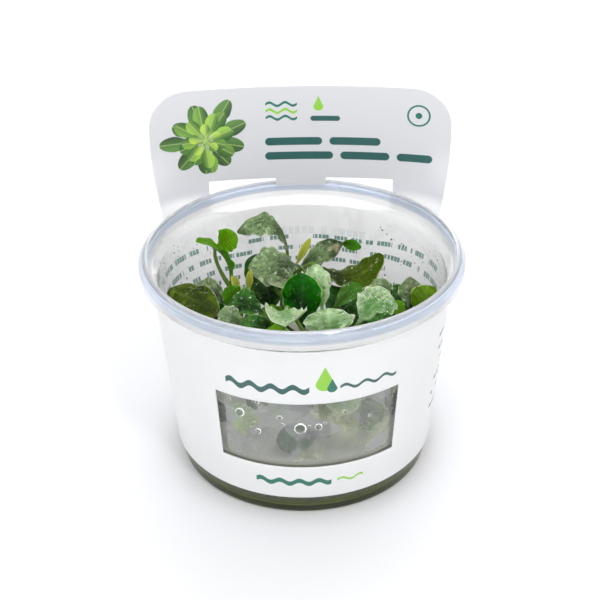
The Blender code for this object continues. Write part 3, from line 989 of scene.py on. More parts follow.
# %% Stem finish
def stem_material():
    material, tree, shader = start_material(
        "stem_skin", ior=1.42, subsurface_weight=0.15, coat_weight=0.3, coat_roughness=0.15)
    shader.inputs["Subsurface Scale"].default_value = MM
    place = object_place(tree)
    patch = noise(tree, place, 420.0, 4.0)
    colour = blend(tree, ramp(tree, patch, 0.35, 0.65), paint("2c4a14"), paint("5f8232"))
    stretched = add_node(tree, "ShaderNodeMapping", {0: place, 3: (1.0, 1.0, 0.18)})
    streak = noise(tree, stretched, 1800.0, 3.0)
    colour = blend(tree, ramp(tree, streak, 0.55, 0.75, 0.0, 0.6), colour, paint("5b4a2a"))
    tree.links.new(colour, shader.inputs["Base Color"])
    tree.links.new(ramp(tree, streak, 0.3, 0.7, 0.3, 0.5), shader.inputs["Roughness"])
    add_bump(tree, shader, streak, 0.15, 0.5)
    return material


stem_skin = stem_material()
stem_tree = tube_tree("stem_tube", stem_skin, Step=0.8 * MM, Sides=16, Scar_Pitch=7.0 * MM,
                      Scar_Depth=0.14, Wobble_Scale=500.0, Wobble=0.35 * MM)
stem_triangles = 0
for number, stem in enumerate(STEMS, start=1):
    source = path_mesh(f"stem_{number}_path", [stem_path(stem)])
    shoot = grow(f"stem_shoot_{number}", source, stem_tree)
    place_piece(f"stem_shoot_{number}", shoot, None, [f"stem_{number}"])
    stem_triangles += triangles(shoot)
print("stems:", stem_triangles, "triangles")

# %% [markdown]
# ## Roots
#
# Fine pale roots wander down from each stem through the gel. They are fibres, too small for
# solids of their own, and the gel's solid holds them. Each is a short random walk with a fixed
# seed, given to the same tube tree with fewer sides.

# %% Roots
ROOTS_PER_STEM = 8
ROOT_STEPS = 16
ROOT_STEP = 1.5
ROOT_FLOOR = 2.4
ROOT_RADIUS = 0.26
ROOT_TAPER = 0.65
ROOT_SINK = 0.62
ROOT_CLEAR = 1.2


def root_path(foot, random):
    """A walk that leans outwards and sinks until it nears the floor of the cup."""
    heading = random.uniform(0.0, math.tau)
    place = np.array([*foot, STEM_START + 1.0])
    path = []
    for k in range(ROOT_STEPS):
        path.append((place.copy(), ROOT_RADIUS * (1 - ROOT_TAPER * k / ROOT_STEPS)))
        heading += random.uniform(-0.5, 0.5)
        sink = -ROOT_SINK if place[2] > ROOT_FLOOR + 1 else 0.02
        step = np.array([math.cos(heading), math.sin(heading), sink + random.uniform(-0.25, 0.25)])
        place = place + ROOT_STEP * unit(step)
        place[2] = max(place[2], ROOT_FLOOR)
        reach = math.hypot(place[0], place[1])
        limit = wall_radius(place[2]) - WALL_THICK - ROOT_CLEAR
        if reach > limit:
            place[:2] *= limit / reach
    return path


random = np.random.default_rng(11)
root_paths = [root_path(stem.foot, random) for stem in STEMS for _ in range(ROOTS_PER_STEM)]


def root_material():
    material, tree, shader = start_material("root_skin", ior=1.4, subsurface_weight=0.3)
    shader.inputs["Subsurface Scale"].default_value = MM
    patch = noise(tree, object_place(tree), 300.0, 3.0)
    colour = blend(tree, ramp(tree, patch, 0.35, 0.65), paint("6f6a35"), paint("b9b98a"))
    tree.links.new(colour, shader.inputs["Base Color"])
    tree.links.new(ramp(tree, patch, 0.3, 0.7, 0.35, 0.6), shader.inputs["Roughness"])
    return material


root_tree = tube_tree("root_tube", root_material(), Step=0.9 * MM, Sides=6, Scar_Pitch=5.0 * MM,
                      Scar_Depth=0.1, Wobble_Scale=900.0, Wobble=0.25 * MM)
roots = grow("roots", path_mesh("root_paths", root_paths), root_tree)
place_piece("roots", roots, None)
print("roots:", len(root_paths), "fibres,", triangles(roots), "triangles")

# %% [markdown]
# ## Leaves
#
# A leaf is one blade on one stalk. It is a loft: round sections up the stalk flatten into the
# blade, whose sections are thin lenses with a groove for the midrib. The rows below are the
# leaves that the photo shows and those that fill the cup behind and under them, each with the
# stem that carries it. A subdivided plane would be quicker, but it would have no stalk, no
# thickness and no underside.

# %% Leaf rows
STALK_RADIUS = 0.55
STALK_LEAN = 0.25
STEM_GAP = 0.3
Leaf = namedtuple("Leaf", "stem height neck tip width arch heading tilt fold tone")
LEAVES = (
    Leaf(2, 0.95, (-4, 12, 53), (-17.2, 13, 57.5), 8.5, 7.6, 300, 65, -0.3, "grey"),
    Leaf(1, 0.98, (-22, 6.4, 57.2), (-16.8, 5.4, 60.8), 6.5, 0.6, 0, 30, 0.2, "vivid"),
    Leaf(1, 0.93, (-18.8, 1.2, 47.5), (-27, 0, 62.3), 7, 3.4, 110, 30, 0.3, "vivid"),
    Leaf(3, 1.00, (-1, 4, 52), (-14, 2, 53), 11, 2, 350, 50, -0.3, "grey"),
    Leaf(2, 0.80, (-8, 8, 46), (-14.5, 10, 51), 9, 1, 330, 30, 0.2, "deep"),
    Leaf(2, 0.80, (-1.5, 8.5, 50), (2.3, 10, 57), 2, 0, 0, 30, 0.0, "young"),
    Leaf(4, 0.90, (-0.5, 11, 47.5), (11, 13, 54), 6, 3, 0, 45, -0.3, "grey"),
    Leaf(2, 0.62, (10.8, 16, 52), (16, 13.5, 52), 3, 1, 0, 40, 0.2, "vivid"),
    Leaf(2, 1.0, (4, 3.5, 52.5), (21.3, 5, 54.5), 11.5, -6, 0, 80, -0.1, "olive"),
    Leaf(3, 0.80, (0.2, -18, 46.5), (-0.5, -9, 57.5), 11.5, -1, 4, 25, 0.7, "vivid"),
    Leaf(7, 0.95, (-4, -20, 53.5), (-4, -29, 54.5), 11, -0.8, 180, 85, 0.7, "pale"),
    Leaf(7, 0.90, (7, -29, 50), (6, -24, 56), 12, 1, 0, 45, 0.1, "pale"),
    Leaf(7, 0.75, (14, -22, 51), (22, -14, 54), 11, 1, 330, 45, 0.1, "pale"),
    Leaf(5, 0.70, (25, -16, 48), (23, -14, 52), 4, 0, 30, 40, 0.2, "vivid"),
    Leaf(5, 0.85, (29, -5, 42.5), (28, -1, 51.3), 7, 0, 330, 10, 0.1, "grey"),
    Leaf(5, 0.75, (28, -13, 47), (33.5, -11, 54), 7, 1, 330, 35, 0.2, "olive"),
    Leaf(6, 0.95, (-20, -17, 50), (-34, -9, 53), 12, 1, 20, 50, -0.3, "olive"),
    Leaf(6, 0.90, (-20, -5, 46.5), (-28, 0, 48.5), 8, 1, 0, 60, 0.1, "grey"),
    Leaf(6, 0.98, (-10, -15, 49.5), (-19, -9, 49), 9, 1, 10, 60, 0.1, "deep"),
    Leaf(6, 0.80, (-15, -20, 49), (-21, -20, 52), 7, 1, 0, 50, 0.0, "grey"),
    Leaf(6, 0.70, (-7, -24, 50), (-15, -26, 53), 6, 1, 0, 50, 0.0, "deep"),
    Leaf(7, 0.60, (-3, -29, 50), (-9, -29, 53), 5, 1, 0, 50, 0.1, "vivid"),
    Leaf(1, 0.82, (-16.2, -1.8, 48), (-18.2, -1.4, 52.5), 2, 0, 20, 30, 0.3, "young"),
    Leaf(1, 0.66, (-13.9, -1.4, 48), (-13.3, -1, 54), 2, 0, 340, 30, 0.3, "young"),
    Leaf(3, 0.92, (-1, -6, 52), (-9, -4, 54), 6, 1, 0, 60, 0.0, "grey"),
    Leaf(3, 0.70, (5, -11, 48), (3, -4, 57), 7, 1, 10, 30, -0.1, "pale"),
    Leaf(7, 1.00, (8, -14, 50), (15, -8, 53), 5, 1, 0, 60, 0.2, "deep"),
    Leaf(5, 0.98, (22, -9, 48), (18, -6, 53), 7, 1, 20, 40, 0.1, "grey"),
    Leaf(7, 0.50, (14, -26, 49), (23, -23, 52), 6, 1, 340, 50, 0.1, "deep"),
    Leaf(6, 0.35, (-10, -29, 28), (-19, -26, 26), 7, 1, 340, 20, 0.1, "pale"),
    Leaf(6, 0.60, (-5, -30, 34), (-8, -31, 29), 4, 0, 350, 10, 0.1, "pale"),
    Leaf(7, 0.15, (4, -28, 22), (-7, -30, 20), 8, 0, 350, 30, 0.1, "deep"),
    Leaf(7, 0.30, (9, -27, 24), (20, -26, 28), 9, 1, 20, 20, 0.1, "grey"),
    Leaf(5, 0.25, (23, -19, 21), (24, -22, 31), 8, 1, 45, 15, 0.1, "deep"),
    Leaf(6, 0.15, (-18, -21, 20), (-24, -21, 29), 9, 1, 315, 20, 0.1, "deep"),
    Leaf(7, 0.50, (5, -28, 31), (14, -30, 35), 8, 1, 10, 30, 0.1, "pale"),
    Leaf(7, 0.45, (0, -29, 28), (-1, -31, 38), 8, 0, 0, 20, 0.2, "deep"),
    Leaf(1, 0.45, (-21, 8, 31), (-30, 12, 37), 11, 1, 320, 60, 0.2, "deep"),
    Leaf(2, 0.50, (-8, 13, 33), (-12, 22, 40), 12, 1, 10, 70, 0.2, "deep"),
    Leaf(4, 0.35, (16, 12, 30), (19, 22, 36), 11, 1, 350, 70, 0.2, "olive"),
    Leaf(4, 0.55, (21, 6, 34), (31, 10, 39), 11, 1, 30, 60, 0.2, "deep"),
    Leaf(5, 0.50, (27, -3, 33), (31, 3, 41), 9, 1, 60, 40, 0.2, "deep"),
    Leaf(1, 0.30, (-22, -5, 33), (-32, -4, 41), 10, 1, 340, 50, 0.2, "deep"),
    Leaf(3, 0.60, (7, -4, 41), (12, 4, 45), 9, 1, 0, 50, 0.1, "deep"),
    Leaf(7, 0.85, (10, -17, 44), (16, -9, 47), 7, 1, 0, 60, 0.1, "deep"),
    Leaf(3, 0.45, (-3, -14, 33), (-5, -23, 37), 10, 1, 0, 60, 0.2, "deep"),
    Leaf(7, 0.60, (13, -20, 41), (21, -24, 44), 8, 1, 20, 70, 0.2, "deep"),
    Leaf(6, 0.45, (-19, -17, 38), (-27, -19, 43), 9, 1, 320, 60, 0.1, "deep"),
    Leaf(1, 0.54, (-16.4, -4.2, 45.6), (-20, -5, 50.8), 6, 1, 350, 50, 0.1, "vivid"),
    Leaf(3, 0.70, (-4, -10, 42), (-11, -12, 48), 7, 1, 0, 45, 0.1, "vivid"),
)
print(len(LEAVES), "leaves in", len({leaf.tone for leaf in LEAVES}), "tones")


# %% Leaf paths
def bezier(points, t):
    """The point at t on the Bezier curve of any number of control points."""
    points = list(points)
    while len(points) > 1:
        points = [a + (b - a) * t for a, b in zip(points, points[1:])]
    return points[0]


def bezier_direction(points, t, step=0.001):
    return unit(bezier(points, min(t + step, 1.0)) - bezier(points, max(t - step, 0.0)))


def face_direction(leaf):
    heading = math.radians(leaf.heading)
    tilt = math.radians(leaf.tilt)
    level = math.cos(tilt)
    return np.array([math.sin(heading) * level, -math.cos(heading) * level, math.sin(tilt)])


def leaf_paths(leaf):
    """Control points of the stalk and of the midrib, and the upper face's direction."""
    neck = np.array(leaf.neck, float)
    tip = np.array(leaf.tip, float)
    along = unit(tip - neck)
    face = face_direction(leaf)
    face = unit(face - along * (face @ along))
    crown = (neck + tip) / 2 + 2 * leaf.arch * face
    stem = STEMS[leaf.stem - 1]
    axis = stem_point(stem, leaf.height)
    outward = unit((neck - axis) * (1.0, 1.0, 0.0))
    start = axis + outward * (stem_radius(stem, leaf.height) + STEM_GAP + STALK_LEAN)
    pull = 0.35 * np.linalg.norm(neck - start)
    leave = start + pull * unit(outward + (0.0, 0.0, 0.5))
    arrive = neck - pull * unit(crown - neck)
    return (start, leave, arrive, neck), (neck, crown, tip), face, axis


def carried(facing, before, after):
    """The facing after the least turn that takes one direction to the next."""
    axis = np.cross(before, after)
    sine = np.linalg.norm(axis)
    if sine > 1e-9:
        axis /= sine
        cosine = before @ after
        along = axis * (axis @ facing) * (1 - cosine)
        facing = cosine * facing + sine * np.cross(axis, facing) + along
    return unit(facing - after * (facing @ after))


print("paths ready")

# %% [markdown]
# The blade's sections follow the same rule as the solid: a width that swells past the middle, a
# fold along the midrib and a slow wave. On top come what a solid of few faces leaves out: a
# ruffled margin, a groove above the midrib and a keel below it, quilting between the side
# veins, and an outline that is never quite even. Each leaf has its own phase for these.

# %% Leaf sections
BLADE_RINGS = 40
BLADE_ACROSS = 18
STALK_RINGS = 9
HALF_THICK = 0.17
EDGE_THICK = 0.04
MORPH_END = 0.14
WAVE_DEPTH = 0.06
WAVE_COUNT = 1.1
RUFFLE_DEPTH = 0.045
GROOVE_DEPTH = 0.13
KEEL_DEPTH = 0.20
QUILT_DEPTH = 0.10
VEIN_COUNT = 8.0
VEIN_SWEEP = 2.4
SIDE_CROWDING = 0.9
even_shares = np.linspace(-1.0, 1.0, BLADE_ACROSS + 1)
across_shares = np.sin(even_shares * math.pi / 2 * SIDE_CROWDING)
across_shares /= math.sin(math.pi / 2 * SIDE_CROWDING)
ring_shares = np.concatenate([across_shares, across_shares[-2:0:-1]])
RING_COUNT = len(ring_shares)
ring_side = np.array([1.0] * (BLADE_ACROSS + 1) + [-1.0] * (BLADE_ACROSS - 1))


def blade_half_width(leaf, t, phase):
    """Widest past the middle, with a wedge at the neck and a round tip."""
    swell = math.sin(math.pi * min(t, 1.0) ** 1.35)
    uneven = 1 + 0.05 * math.sin(11.0 * t + phase) + 0.035 * math.sin(27.0 * t + 2 * phase)
    return leaf.width / 2 * max(swell, 0.0) ** 0.65 * uneven + 0.06


def stalk_ring(centre, side, facing, radius):
    angles = math.pi - math.tau * np.arange(RING_COUNT) / RING_COUNT
    return centre + radius * (np.outer(np.cos(angles), side) + np.outer(np.sin(angles), facing))


def blade_ring(leaf, t, centre, side, facing, phase):
    """One closed section: the upper side from edge to edge, then the lower side back."""
    u = ring_shares
    edge = np.abs(u)
    half_width = blade_half_width(leaf, t, phase)
    fold = leaf.fold * half_width * edge ** 1.5 * math.sin(math.pi * min(t, 0.9)) ** 0.5
    wave = WAVE_DEPTH * leaf.width * u * edge * math.sin(math.tau * WAVE_COUNT * t + leaf.width)
    turns = math.tau * (4.2 * t) + phase + np.sign(u) * 1.3
    ruffle = RUFFLE_DEPTH * leaf.width * edge ** 4 * np.sin(turns) * math.sin(math.pi * t) ** 0.5
    across = half_width * u * (1 - 0.12 * abs(leaf.fold) * u * u)
    vein = np.cos(math.tau * (VEIN_COUNT * t - VEIN_SWEEP * edge * 0.5))
    quilt = QUILT_DEPTH * vein * np.sin(math.pi * np.clip(edge, 0, 1))
    quilt *= math.sin(math.pi * t) ** 0.5
    reach = np.abs(across)
    thick = HALF_THICK * (1 - edge ** 5) + EDGE_THICK * (1 - edge ** 24)
    upper = thick - GROOVE_DEPTH * np.exp(-(reach / 0.32) ** 2) + quilt
    lower = -thick - KEEL_DEPTH * (1 - 0.6 * t) * np.exp(-(reach / 0.42) ** 2) + quilt
    rise = fold + wave + ruffle + np.where(ring_side > 0, upper, lower)
    rise[edge > 0.999] = (fold + wave + ruffle)[edge > 0.999]
    return centre + np.outer(across, side) + np.outer(rise, facing)


print("each section has", RING_COUNT, "points")


# %% Leaf loft
def leaf_rings(leaf, phase):
    """Sections from inside the stem to the tip, with the share along the leaf of each."""
    stalk, midrib, face, axis = leaf_paths(leaf)
    neck_way = bezier_direction(midrib, 0.0)
    neck_facing = unit(face - neck_way * (face @ neck_way))
    sections = []
    facing = neck_facing
    before = neck_way
    for k in range(BLADE_RINGS + 1):
        t = 1 - (1 - k / BLADE_RINGS) ** 1.15
        way = bezier_direction(midrib, t)
        facing = carried(facing, before, way)
        before = way
        side = np.cross(way, facing)
        centre = bezier(midrib, t)
        ring_points = blade_ring(leaf, max(t, 0.01), centre, side, facing, phase)
        if t < MORPH_END:
            round_points = stalk_ring(centre, side, facing, STALK_RADIUS * 0.8)
            share = smooth_step(t / MORPH_END)
            ring_points = (1 - share) * round_points + share * ring_points
        sections.append((t, ring_points))
    facing = neck_facing
    before = neck_way
    for k in range(1, STALK_RINGS + 1):
        t = 1 - k / STALK_RINGS
        way = bezier_direction(stalk, t)
        facing = carried(facing, before, way)
        before = way
        side = np.cross(way, facing)
        radius = STALK_RADIUS * (0.8 + 0.5 * (1 - t) ** 3)
        sections.insert(0, (t - 1.0, stalk_ring(bezier(stalk, t), side, facing, radius)))
    root = stalk_ring(0.75 * axis + 0.25 * stalk[0], side, facing, STALK_RADIUS)
    sections.insert(0, (-1.1, root))
    return sections


print("a leaf has", BLADE_RINGS + STALK_RINGS + 2, "sections")


# %% Leaf mesh
# Leaves, by number, that are yellower than the others of their tone.
WARMTH = {2: 0.60, 3: 0.45, 8: 0.15, 14: 0.55, 16: 0.30, 22: 0.55, 27: 0.10, 49: 0.25, 50: 0.40}


def leaf_mesh(number, leaf):
    """The loft with its UV map (across, along) and its face and leaf values."""
    phase = 1.7 * number
    sections = leaf_rings(leaf, phase)
    points = np.concatenate([ring_points for _, ring_points in sections])
    faces = []
    uvs = []
    under = []
    for k in range(len(sections) - 1):
        for i in range(RING_COUNT):
            j = (i + 1) % RING_COUNT
            quad = ((k, i), (k, j), (k + 1, j), (k + 1, i))
            faces.append([a * RING_COUNT + b for a, b in quad])
            uvs += [(0.5 + 0.5 * ring_shares[b], sections[a][0]) for a, b in quad]
            under.append(float(i >= BLADE_ACROSS))
    for k, order in ((0, -1), (len(sections) - 1, 1)):
        around = list(range(RING_COUNT))[::order]
        faces.append([k * RING_COUNT + b for b in around])
        uvs += [(0.5, sections[k][0])] * RING_COUNT
        under.append(0.0)
    mesh = mesh_of(f"blade_{number:02d}", points, faces)
    layer = mesh.uv_layers.new(name="blade")
    layer.data.foreach_set("uv", np.asarray(uvs, np.float32).ravel())
    add_values(mesh, "underside", under, domain="FACE")
    add_values(mesh, "leaf_number", [number * 0.137 % 1.0] * len(points))
    add_values(mesh, "warmth", [WARMTH.get(number, 0.0)] * len(points))
    mesh.shade_smooth()
    return mesh


print("one leaf has", triangles(leaf_mesh(1, LEAVES[0])), "triangles")

# %% [markdown]
# A leaf's finish follows its own UV map, so the veins run from the midrib to the margin. One
# function makes all six. Each tone has its dark, middle and light greens, the colours of its
# veins and underside, the colour of the painted light along its rim, and shares for its rusty
# spots, its roughness, the light that passes through the blade (subsurface) and how dark its
# middle gets, which is partly the leaf's own darker centre and partly painted shade in the
# midrib's fold. A leaf's warmth turns it yellower.
# A thin coat gives the wet shine of a leaf kept in moist air.

# %% Leaf tones
Tone = namedtuple("Tone", "dark middle light vein under rim spots rough through core")
TONES = {
    # The deep tone's greens are partly the leaves' own dark green and partly painted shade, for
    # leaves deep among the others.
    "deep": Tone("081a06", "2c5a1c", "6a984c", "4c7a34", "345a2a", "6f9552",
                 0.15, 0.30, 0.10, 0.80),
    "grey": Tone("22341b", "70885c", "ccd8b8", "94ae76", "7c8a72", "d4e0c2",
                 0.60, 0.42, 0.15, 0.65),
    "olive": Tone("1c2806", "3e5408", "748c1c", "6a7e30", "46640e", "dce2a8",
                  0.35, 0.34, 0.12, 0.70),
    "pale": Tone("4a7838", "9db68a", "dce6cc", "c2d6ac", "98b382", "eef4e2",
                 0.45, 0.30, 0.25, 0.70),
    "vivid": Tone("021a01", "0e5402", "2f8a0e", "0b3c05", "3c7a12", "8abf58",
                  0.05, 0.28, 0.12, 0.95),
    "young": Tone("6c7a20", "9aa238", "c4be70", "cfc98a", "b09068", "dccfa0",
                  0.10, 0.35, 0.30, 0.50),
}
print("tones:", ", ".join(TONES))


# %% Leaf marks
def attribute(tree, name, out=2):
    return add_node(tree, "ShaderNodeAttribute", out=out, attribute_name=name)


def leaf_place(tree):
    """Object coordinates, moved to a place of its own for each leaf."""
    step = {0: (7.1, 3.7, 5.3), 3: attribute(tree, "leaf_number")}
    shift = add_node(tree, "ShaderNodeVectorMath", step, operation="SCALE")
    moved = {0: object_place(tree), 1: shift}
    return add_node(tree, "ShaderNodeVectorMath", moved, operation="ADD")


def leaf_veins(tree, edge, along):
    """Masks of the midrib and of the side veins, which sweep forward to the margin."""
    rib = ramp(tree, edge, 0.10, 0.02)
    row = minus(tree, times(tree, along, VEIN_COUNT), times(tree, edge, 0.5 * VEIN_SWEEP))
    gap = calc(tree, "ABSOLUTE", minus(tree, calc(tree, "FRACT", row), 0.5))
    side = times(tree, ramp(tree, gap, 0.41, 0.5), ramp(tree, edge, 0.95, 0.5))
    return rib, side


def leaf_spots(tree, place, share):
    """Rusty flecks: Voronoi cells whose centres are picked by a coarser noise."""
    cell = add_node(tree, "ShaderNodeTexVoronoi", {"Vector": place, "Scale": 900.0})
    near = ramp(tree, cell, 0.42, 0.20)
    where = ramp(tree, noise(tree, place, 170.0, 2.0), 0.62 - 0.22 * share, 0.80 - 0.22 * share)
    return times(tree, near, where)


print("leaf marks: midrib, side veins, spots")


# %% Leaf finish
def leaf_material(name, tone):
    material, tree, shader = start_material(
        f"leaf_{name}", ior=1.4, subsurface_weight=tone.through, coat_weight=0.08,
        coat_roughness=0.05, specular_ior_level=0.03)
    shader.inputs["Subsurface Scale"].default_value = 1.2 * MM
    shader.inputs["Subsurface Radius"].default_value = (0.6, 1.0, 0.25)
    place = leaf_place(tree)
    across, along, _ = split(tree, add_node(tree, "ShaderNodeUVMap", uv_map="blade"))
    edge = times(tree, offset(tree, across, 0.5), 2.0)
    rib, side = leaf_veins(tree, edge, along)
    broad = noise(tree, place, 120.0, 4.0, 0.6)
    fine = noise(tree, place, 700.0, 4.0, 0.65)
    colour = blend(tree, ramp(tree, broad, 0.32, 0.55), paint(tone.dark), paint(tone.middle))
    colour = blend(tree, ramp(tree, fine, 0.50, 0.78, 0.0, 0.8), colour, paint(tone.light))
    colour = blend(tree, times(tree, side, 0.22), colour, paint(tone.vein))
    colour = blend(tree, times(tree, rib, 0.35), colour, paint(tone.vein))
    # Darker towards the neck and the midrib: partly the leaf's own darker centre, partly painted
    # shade in the midrib's fold and at the neck.
    deep = times(tree, ramp(tree, along, 0.90, 0.30), ramp(tree, edge, 0.75, 0.10, 0.0, tone.core))
    colour = blend(tree, deep, colour, paint(tone.dark))
    # Painted light: a pale band along the margin stands in for light through the thin edge.
    rim_light_edge = ramp(tree, edge, 0.89, 0.98, 0.0, 0.7)
    margin = times(tree, rim_light_edge, ramp(tree, broad, 0.35, 0.6, 0.35, 1.0))
    colour = blend(tree, margin, colour, paint(tone.rim))
    colour = blend(tree, attribute(tree, "warmth"), colour, paint("6a9a0c"))
    if tone.spots > 0.2:
        grain = noise(tree, place, 1500.0, 3.0, 0.6)
        mottle = ramp(tree, grain, 0.50, 0.68, 0.0, 1.1 * tone.spots)
        colour = blend(tree, mottle, colour, paint(tone.dark))
        tan = ramp(tree, noise(tree, place, 210.0, 3.0), 0.66 - 0.1 * tone.spots, 0.80, 0.0, 0.65)
        colour = blend(tree, tan, colour, paint("b59f86"))
    rust = times(tree, leaf_spots(tree, place, tone.spots), 0.75)
    colour = blend(tree, rust, colour, paint("3d3020"))
    under = times(tree, attribute(tree, "underside"), 0.7)
    colour = blend(tree, under, colour, paint(tone.under))
    colour = blend(tree, ramp(tree, along, 0.02, -0.1), colour, paint("5d7a32"))
    tree.links.new(colour, shader.inputs["Base Color"])
    rough = ramp(tree, fine, 0.3, 0.75, tone.rough - 0.08, tone.rough + 0.15)
    tree.links.new(rough, shader.inputs["Roughness"])
    cells = add_node(tree, "ShaderNodeTexVoronoi", {"Vector": place, "Scale": 2200.0})
    height = minus(tree, times(tree, cells, 0.35), times(tree, side, 0.8))
    height = plus(tree, height, times(tree, fine, 1.2))
    add_bump(tree, shader, height, 0.25, 0.6)
    return material


leaf_skins = {name: leaf_material(name, tone) for name, tone in TONES.items()}
print(len(leaf_skins), "leaf finishes")

# %% Leaves placed
blades = []
for number, leaf in enumerate(LEAVES, start=1):
    blade = place_piece(f"blade_{number:02d}", leaf_mesh(number, leaf), leaf_skins[leaf.tone],
                        [f"leaf_{number:02d}"])
    blades.append(blade)
print("leaves:", sum(triangles(blade.data) for blade in blades), "triangles")

# %% [markdown]
# ## Water
#
# The air in the cup is saturated, so small drops sit on the leaves and on the wall. Hundreds of
# like shapes on a surface are a job for Distribute Points and Instance on Points. One drop is a
# flattened half sphere of a few dozen faces, turned to the surface that it sits on.

# %% Water finish
def water_material():
    material, tree, shader = start_material(
        "water", base_color=paint("ffffff"), transmission_weight=1.0, ior=1.333, roughness=0.0)
    ripple = noise(tree, object_place(tree), 2500.0, 2.0)
    tree.links.new(ramp(tree, ripple, 0.3, 0.7, 0.0, 0.03), shader.inputs["Roughness"])
    add_bump(tree, shader, ripple, 0.01, 0.3)
    return material


water = water_material()


def dome(tree, segments, rings, height):
    """A half sphere of 1 mm radius with a flat foot, squashed to its height."""
    ball = add_node(tree, "GeometryNodeMeshUVSphere", {0: segments, 1: rings, 2: MM})
    x, y, z = split(tree, add_node(tree, "GeometryNodeInputPosition"))
    lift = times(tree, calc(tree, "MAXIMUM", z, 0.0), height)
    place = add_node(tree, "ShaderNodeCombineXYZ", {0: x, 1: y, 2: lift})
    return add_node(tree, "GeometryNodeSetPosition", {0: ball, 2: place})


print("water and drop shape ready")


# %% Drops on leaves
def leaf_drop_tree():
    """Drops strewn on the upper faces of a mesh."""
    tree, given = start_tree("leaf_drops", Density=6000.0, Smallest=0.12, Largest=0.44, Seed=5)
    top = minus(tree, 1.0, named(tree, "underside"))
    scatter = tree.nodes.new("GeometryNodeDistributePointsOnFaces")
    scatter.distribute_method = "RANDOM"
    tree.links.new(given["Geometry"], scatter.inputs["Mesh"])
    tree.links.new(top, scatter.inputs["Selection"])
    tree.links.new(given["Density"], scatter.inputs["Density"])
    tree.links.new(given["Seed"], scatter.inputs["Seed"])
    limits = {2: given["Smallest"], 3: given["Largest"], 8: given["Seed"]}
    size = add_node(tree, "FunctionNodeRandomValue", limits, out=1)
    share = calc(tree, "POWER", calc(tree, "DIVIDE", size, given["Largest"]), 1.6)
    size = times(tree, share, given["Largest"])
    drops = add_node(tree, "GeometryNodeInstanceOnPoints", {
        0: scatter.outputs["Points"], 2: dome(tree, 8, 6, 0.55),
        5: scatter.outputs["Rotation"], 6: size})
    end_tree(tree, drops, water)
    return tree


# How wet each leaf is, by number. The others stay dry.
WET_LEAVES = {
    1: 0.3, 4: 1.3, 5: 0.4, 9: 0.3, 10: 0.7, 11: 0.8, 12: 1.0, 13: 2.4, 17: 0.7, 18: 0.8,
    19: 1.0, 20: 0.8, 21: 0.6, 25: 1.0, 26: 0.8, 27: 0.8, 28: 0.6, 29: 0.6, 30: 0.6, 31: 0.8,
    33: 0.6,
}
DROPS_PER_AREA = 6.0e5
DOME_POINTS = 42
drop_tree = leaf_drop_tree()
drop_count = 0
for number, wet in WET_LEAVES.items():
    name = f"leaf_drops_{number:02d}"
    source = blades[number - 1].data.copy()
    mesh = grow(name, source, drop_tree, Density=wet * DROPS_PER_AREA, Seed=number)
    if len(mesh.vertices):
        place_piece(name, mesh, None)
        drop_count += len(mesh.vertices) // DOME_POINTS
print("about", drop_count, "drops on the leaves")


# %% Points on the wall
def inner_wall_point(arc, z, lift=0.0):
    """A point on the cup's inner wall. Arc runs along the wall from the front centre, to +X."""
    radius = wall_radius(z) - WALL_THICK - lift
    angle = arc / BAND_RADIUS
    inward = np.array([-math.sin(angle), math.cos(angle), 0.0])
    return np.array([radius * math.sin(angle), -radius * math.cos(angle), z]), inward


def points_mesh(name, rows):
    """Loose points, each with a size and the way that it faces."""
    mesh = bpy.data.meshes.new(name)
    mesh.from_pydata([tuple(MM * place) for place, _, _ in rows], [], [])
    add_values(mesh, "facing", [way for _, way, _ in rows], "FLOAT_VECTOR")
    add_values(mesh, "size", [size for _, _, size in rows])
    return mesh


def planted_tree(name, shape, material):
    """Sets one shape on each point, turned to the point's facing and scaled to its size."""
    tree, given = start_tree(name)
    facing = named(tree, "facing", "FLOAT_VECTOR")
    turn = add_node(tree, "FunctionNodeAlignRotationToVector", {2: facing})
    planted = add_node(tree, "GeometryNodeInstanceOnPoints", {
        0: add_node(tree, "GeometryNodeMeshToPoints", {0: given["Geometry"]}),
        2: shape(tree), 5: turn, 6: named(tree, "size")})
    end_tree(tree, planted, material)
    return tree


def place_planted(name, rows, tree):
    """One piece of all the shapes that a planted tree sets on the rows of points."""
    place_piece(name, grow(name, points_mesh(f"{name}_points", rows), tree), None)


print("wall helpers ready")

# %% Drops on the wall
DROP_LIFT = 0.03
WINDOW_MIST = 420
WALL_MIST = 260
WINDOW_DROPS = (
    (-17.6, 31.0, 1.25), (-1.0, 28.2, 1.6), (1.4, 28.9, 0.5), (3.9, 28.6, 1.0),
    (-12.6, 26.2, 0.8), (-6.4, 31.4, 0.7), (-5.6, 29.2, 0.55), (-16.2, 37.0, 0.55),
    (-12.3, 35.6, 0.6), (18.2, 29.3, 0.5), (11.0, 32.4, 0.55), (-14.4, 27.0, 0.45),
    (5.6, 29.6, 0.5), (-21.0, 36.0, 0.5), (-20.4, 34.2, 0.4),
)
random = np.random.default_rng(23)
big_rows = [(*inner_wall_point(arc, z, DROP_LIFT), size) for arc, z, size in WINDOW_DROPS]
mist_rows = []
for _ in range(WINDOW_MIST):
    arc, z = random.uniform(-25.0, 27.0), random.uniform(18.5, 37.5)
    mist_rows.append((*inner_wall_point(arc, z, DROP_LIFT), 0.07 + 0.22 * random.random() ** 4))
for _ in range(WALL_MIST):
    arc, z = random.uniform(32.0, 206.0), random.uniform(40.0, 54.0)
    mist_rows.append((*inner_wall_point(arc, z, DROP_LIFT), 0.06 + 0.16 * random.random() ** 3))
big_tree = planted_tree("window_drops", lambda tree: dome(tree, 24, 14, 0.85), water)
small_tree = planted_tree("wall_drops", lambda tree: dome(tree, 8, 6, 0.5), water)
place_planted("window_drops", big_rows, big_tree)
place_planted("wall_drops", mist_rows, small_tree)
print(len(big_rows), "large drops in the window,", len(mist_rows), "small ones on the wall")

# %% [markdown]
# A breath of fog covers the wall inside the window and greys the leaves behind it. Fog is
# thousands of tiny droplets, far too many to model, so it is a thin film that covers only part
# of what is behind it: its alpha comes from noise and thins out at its edges.

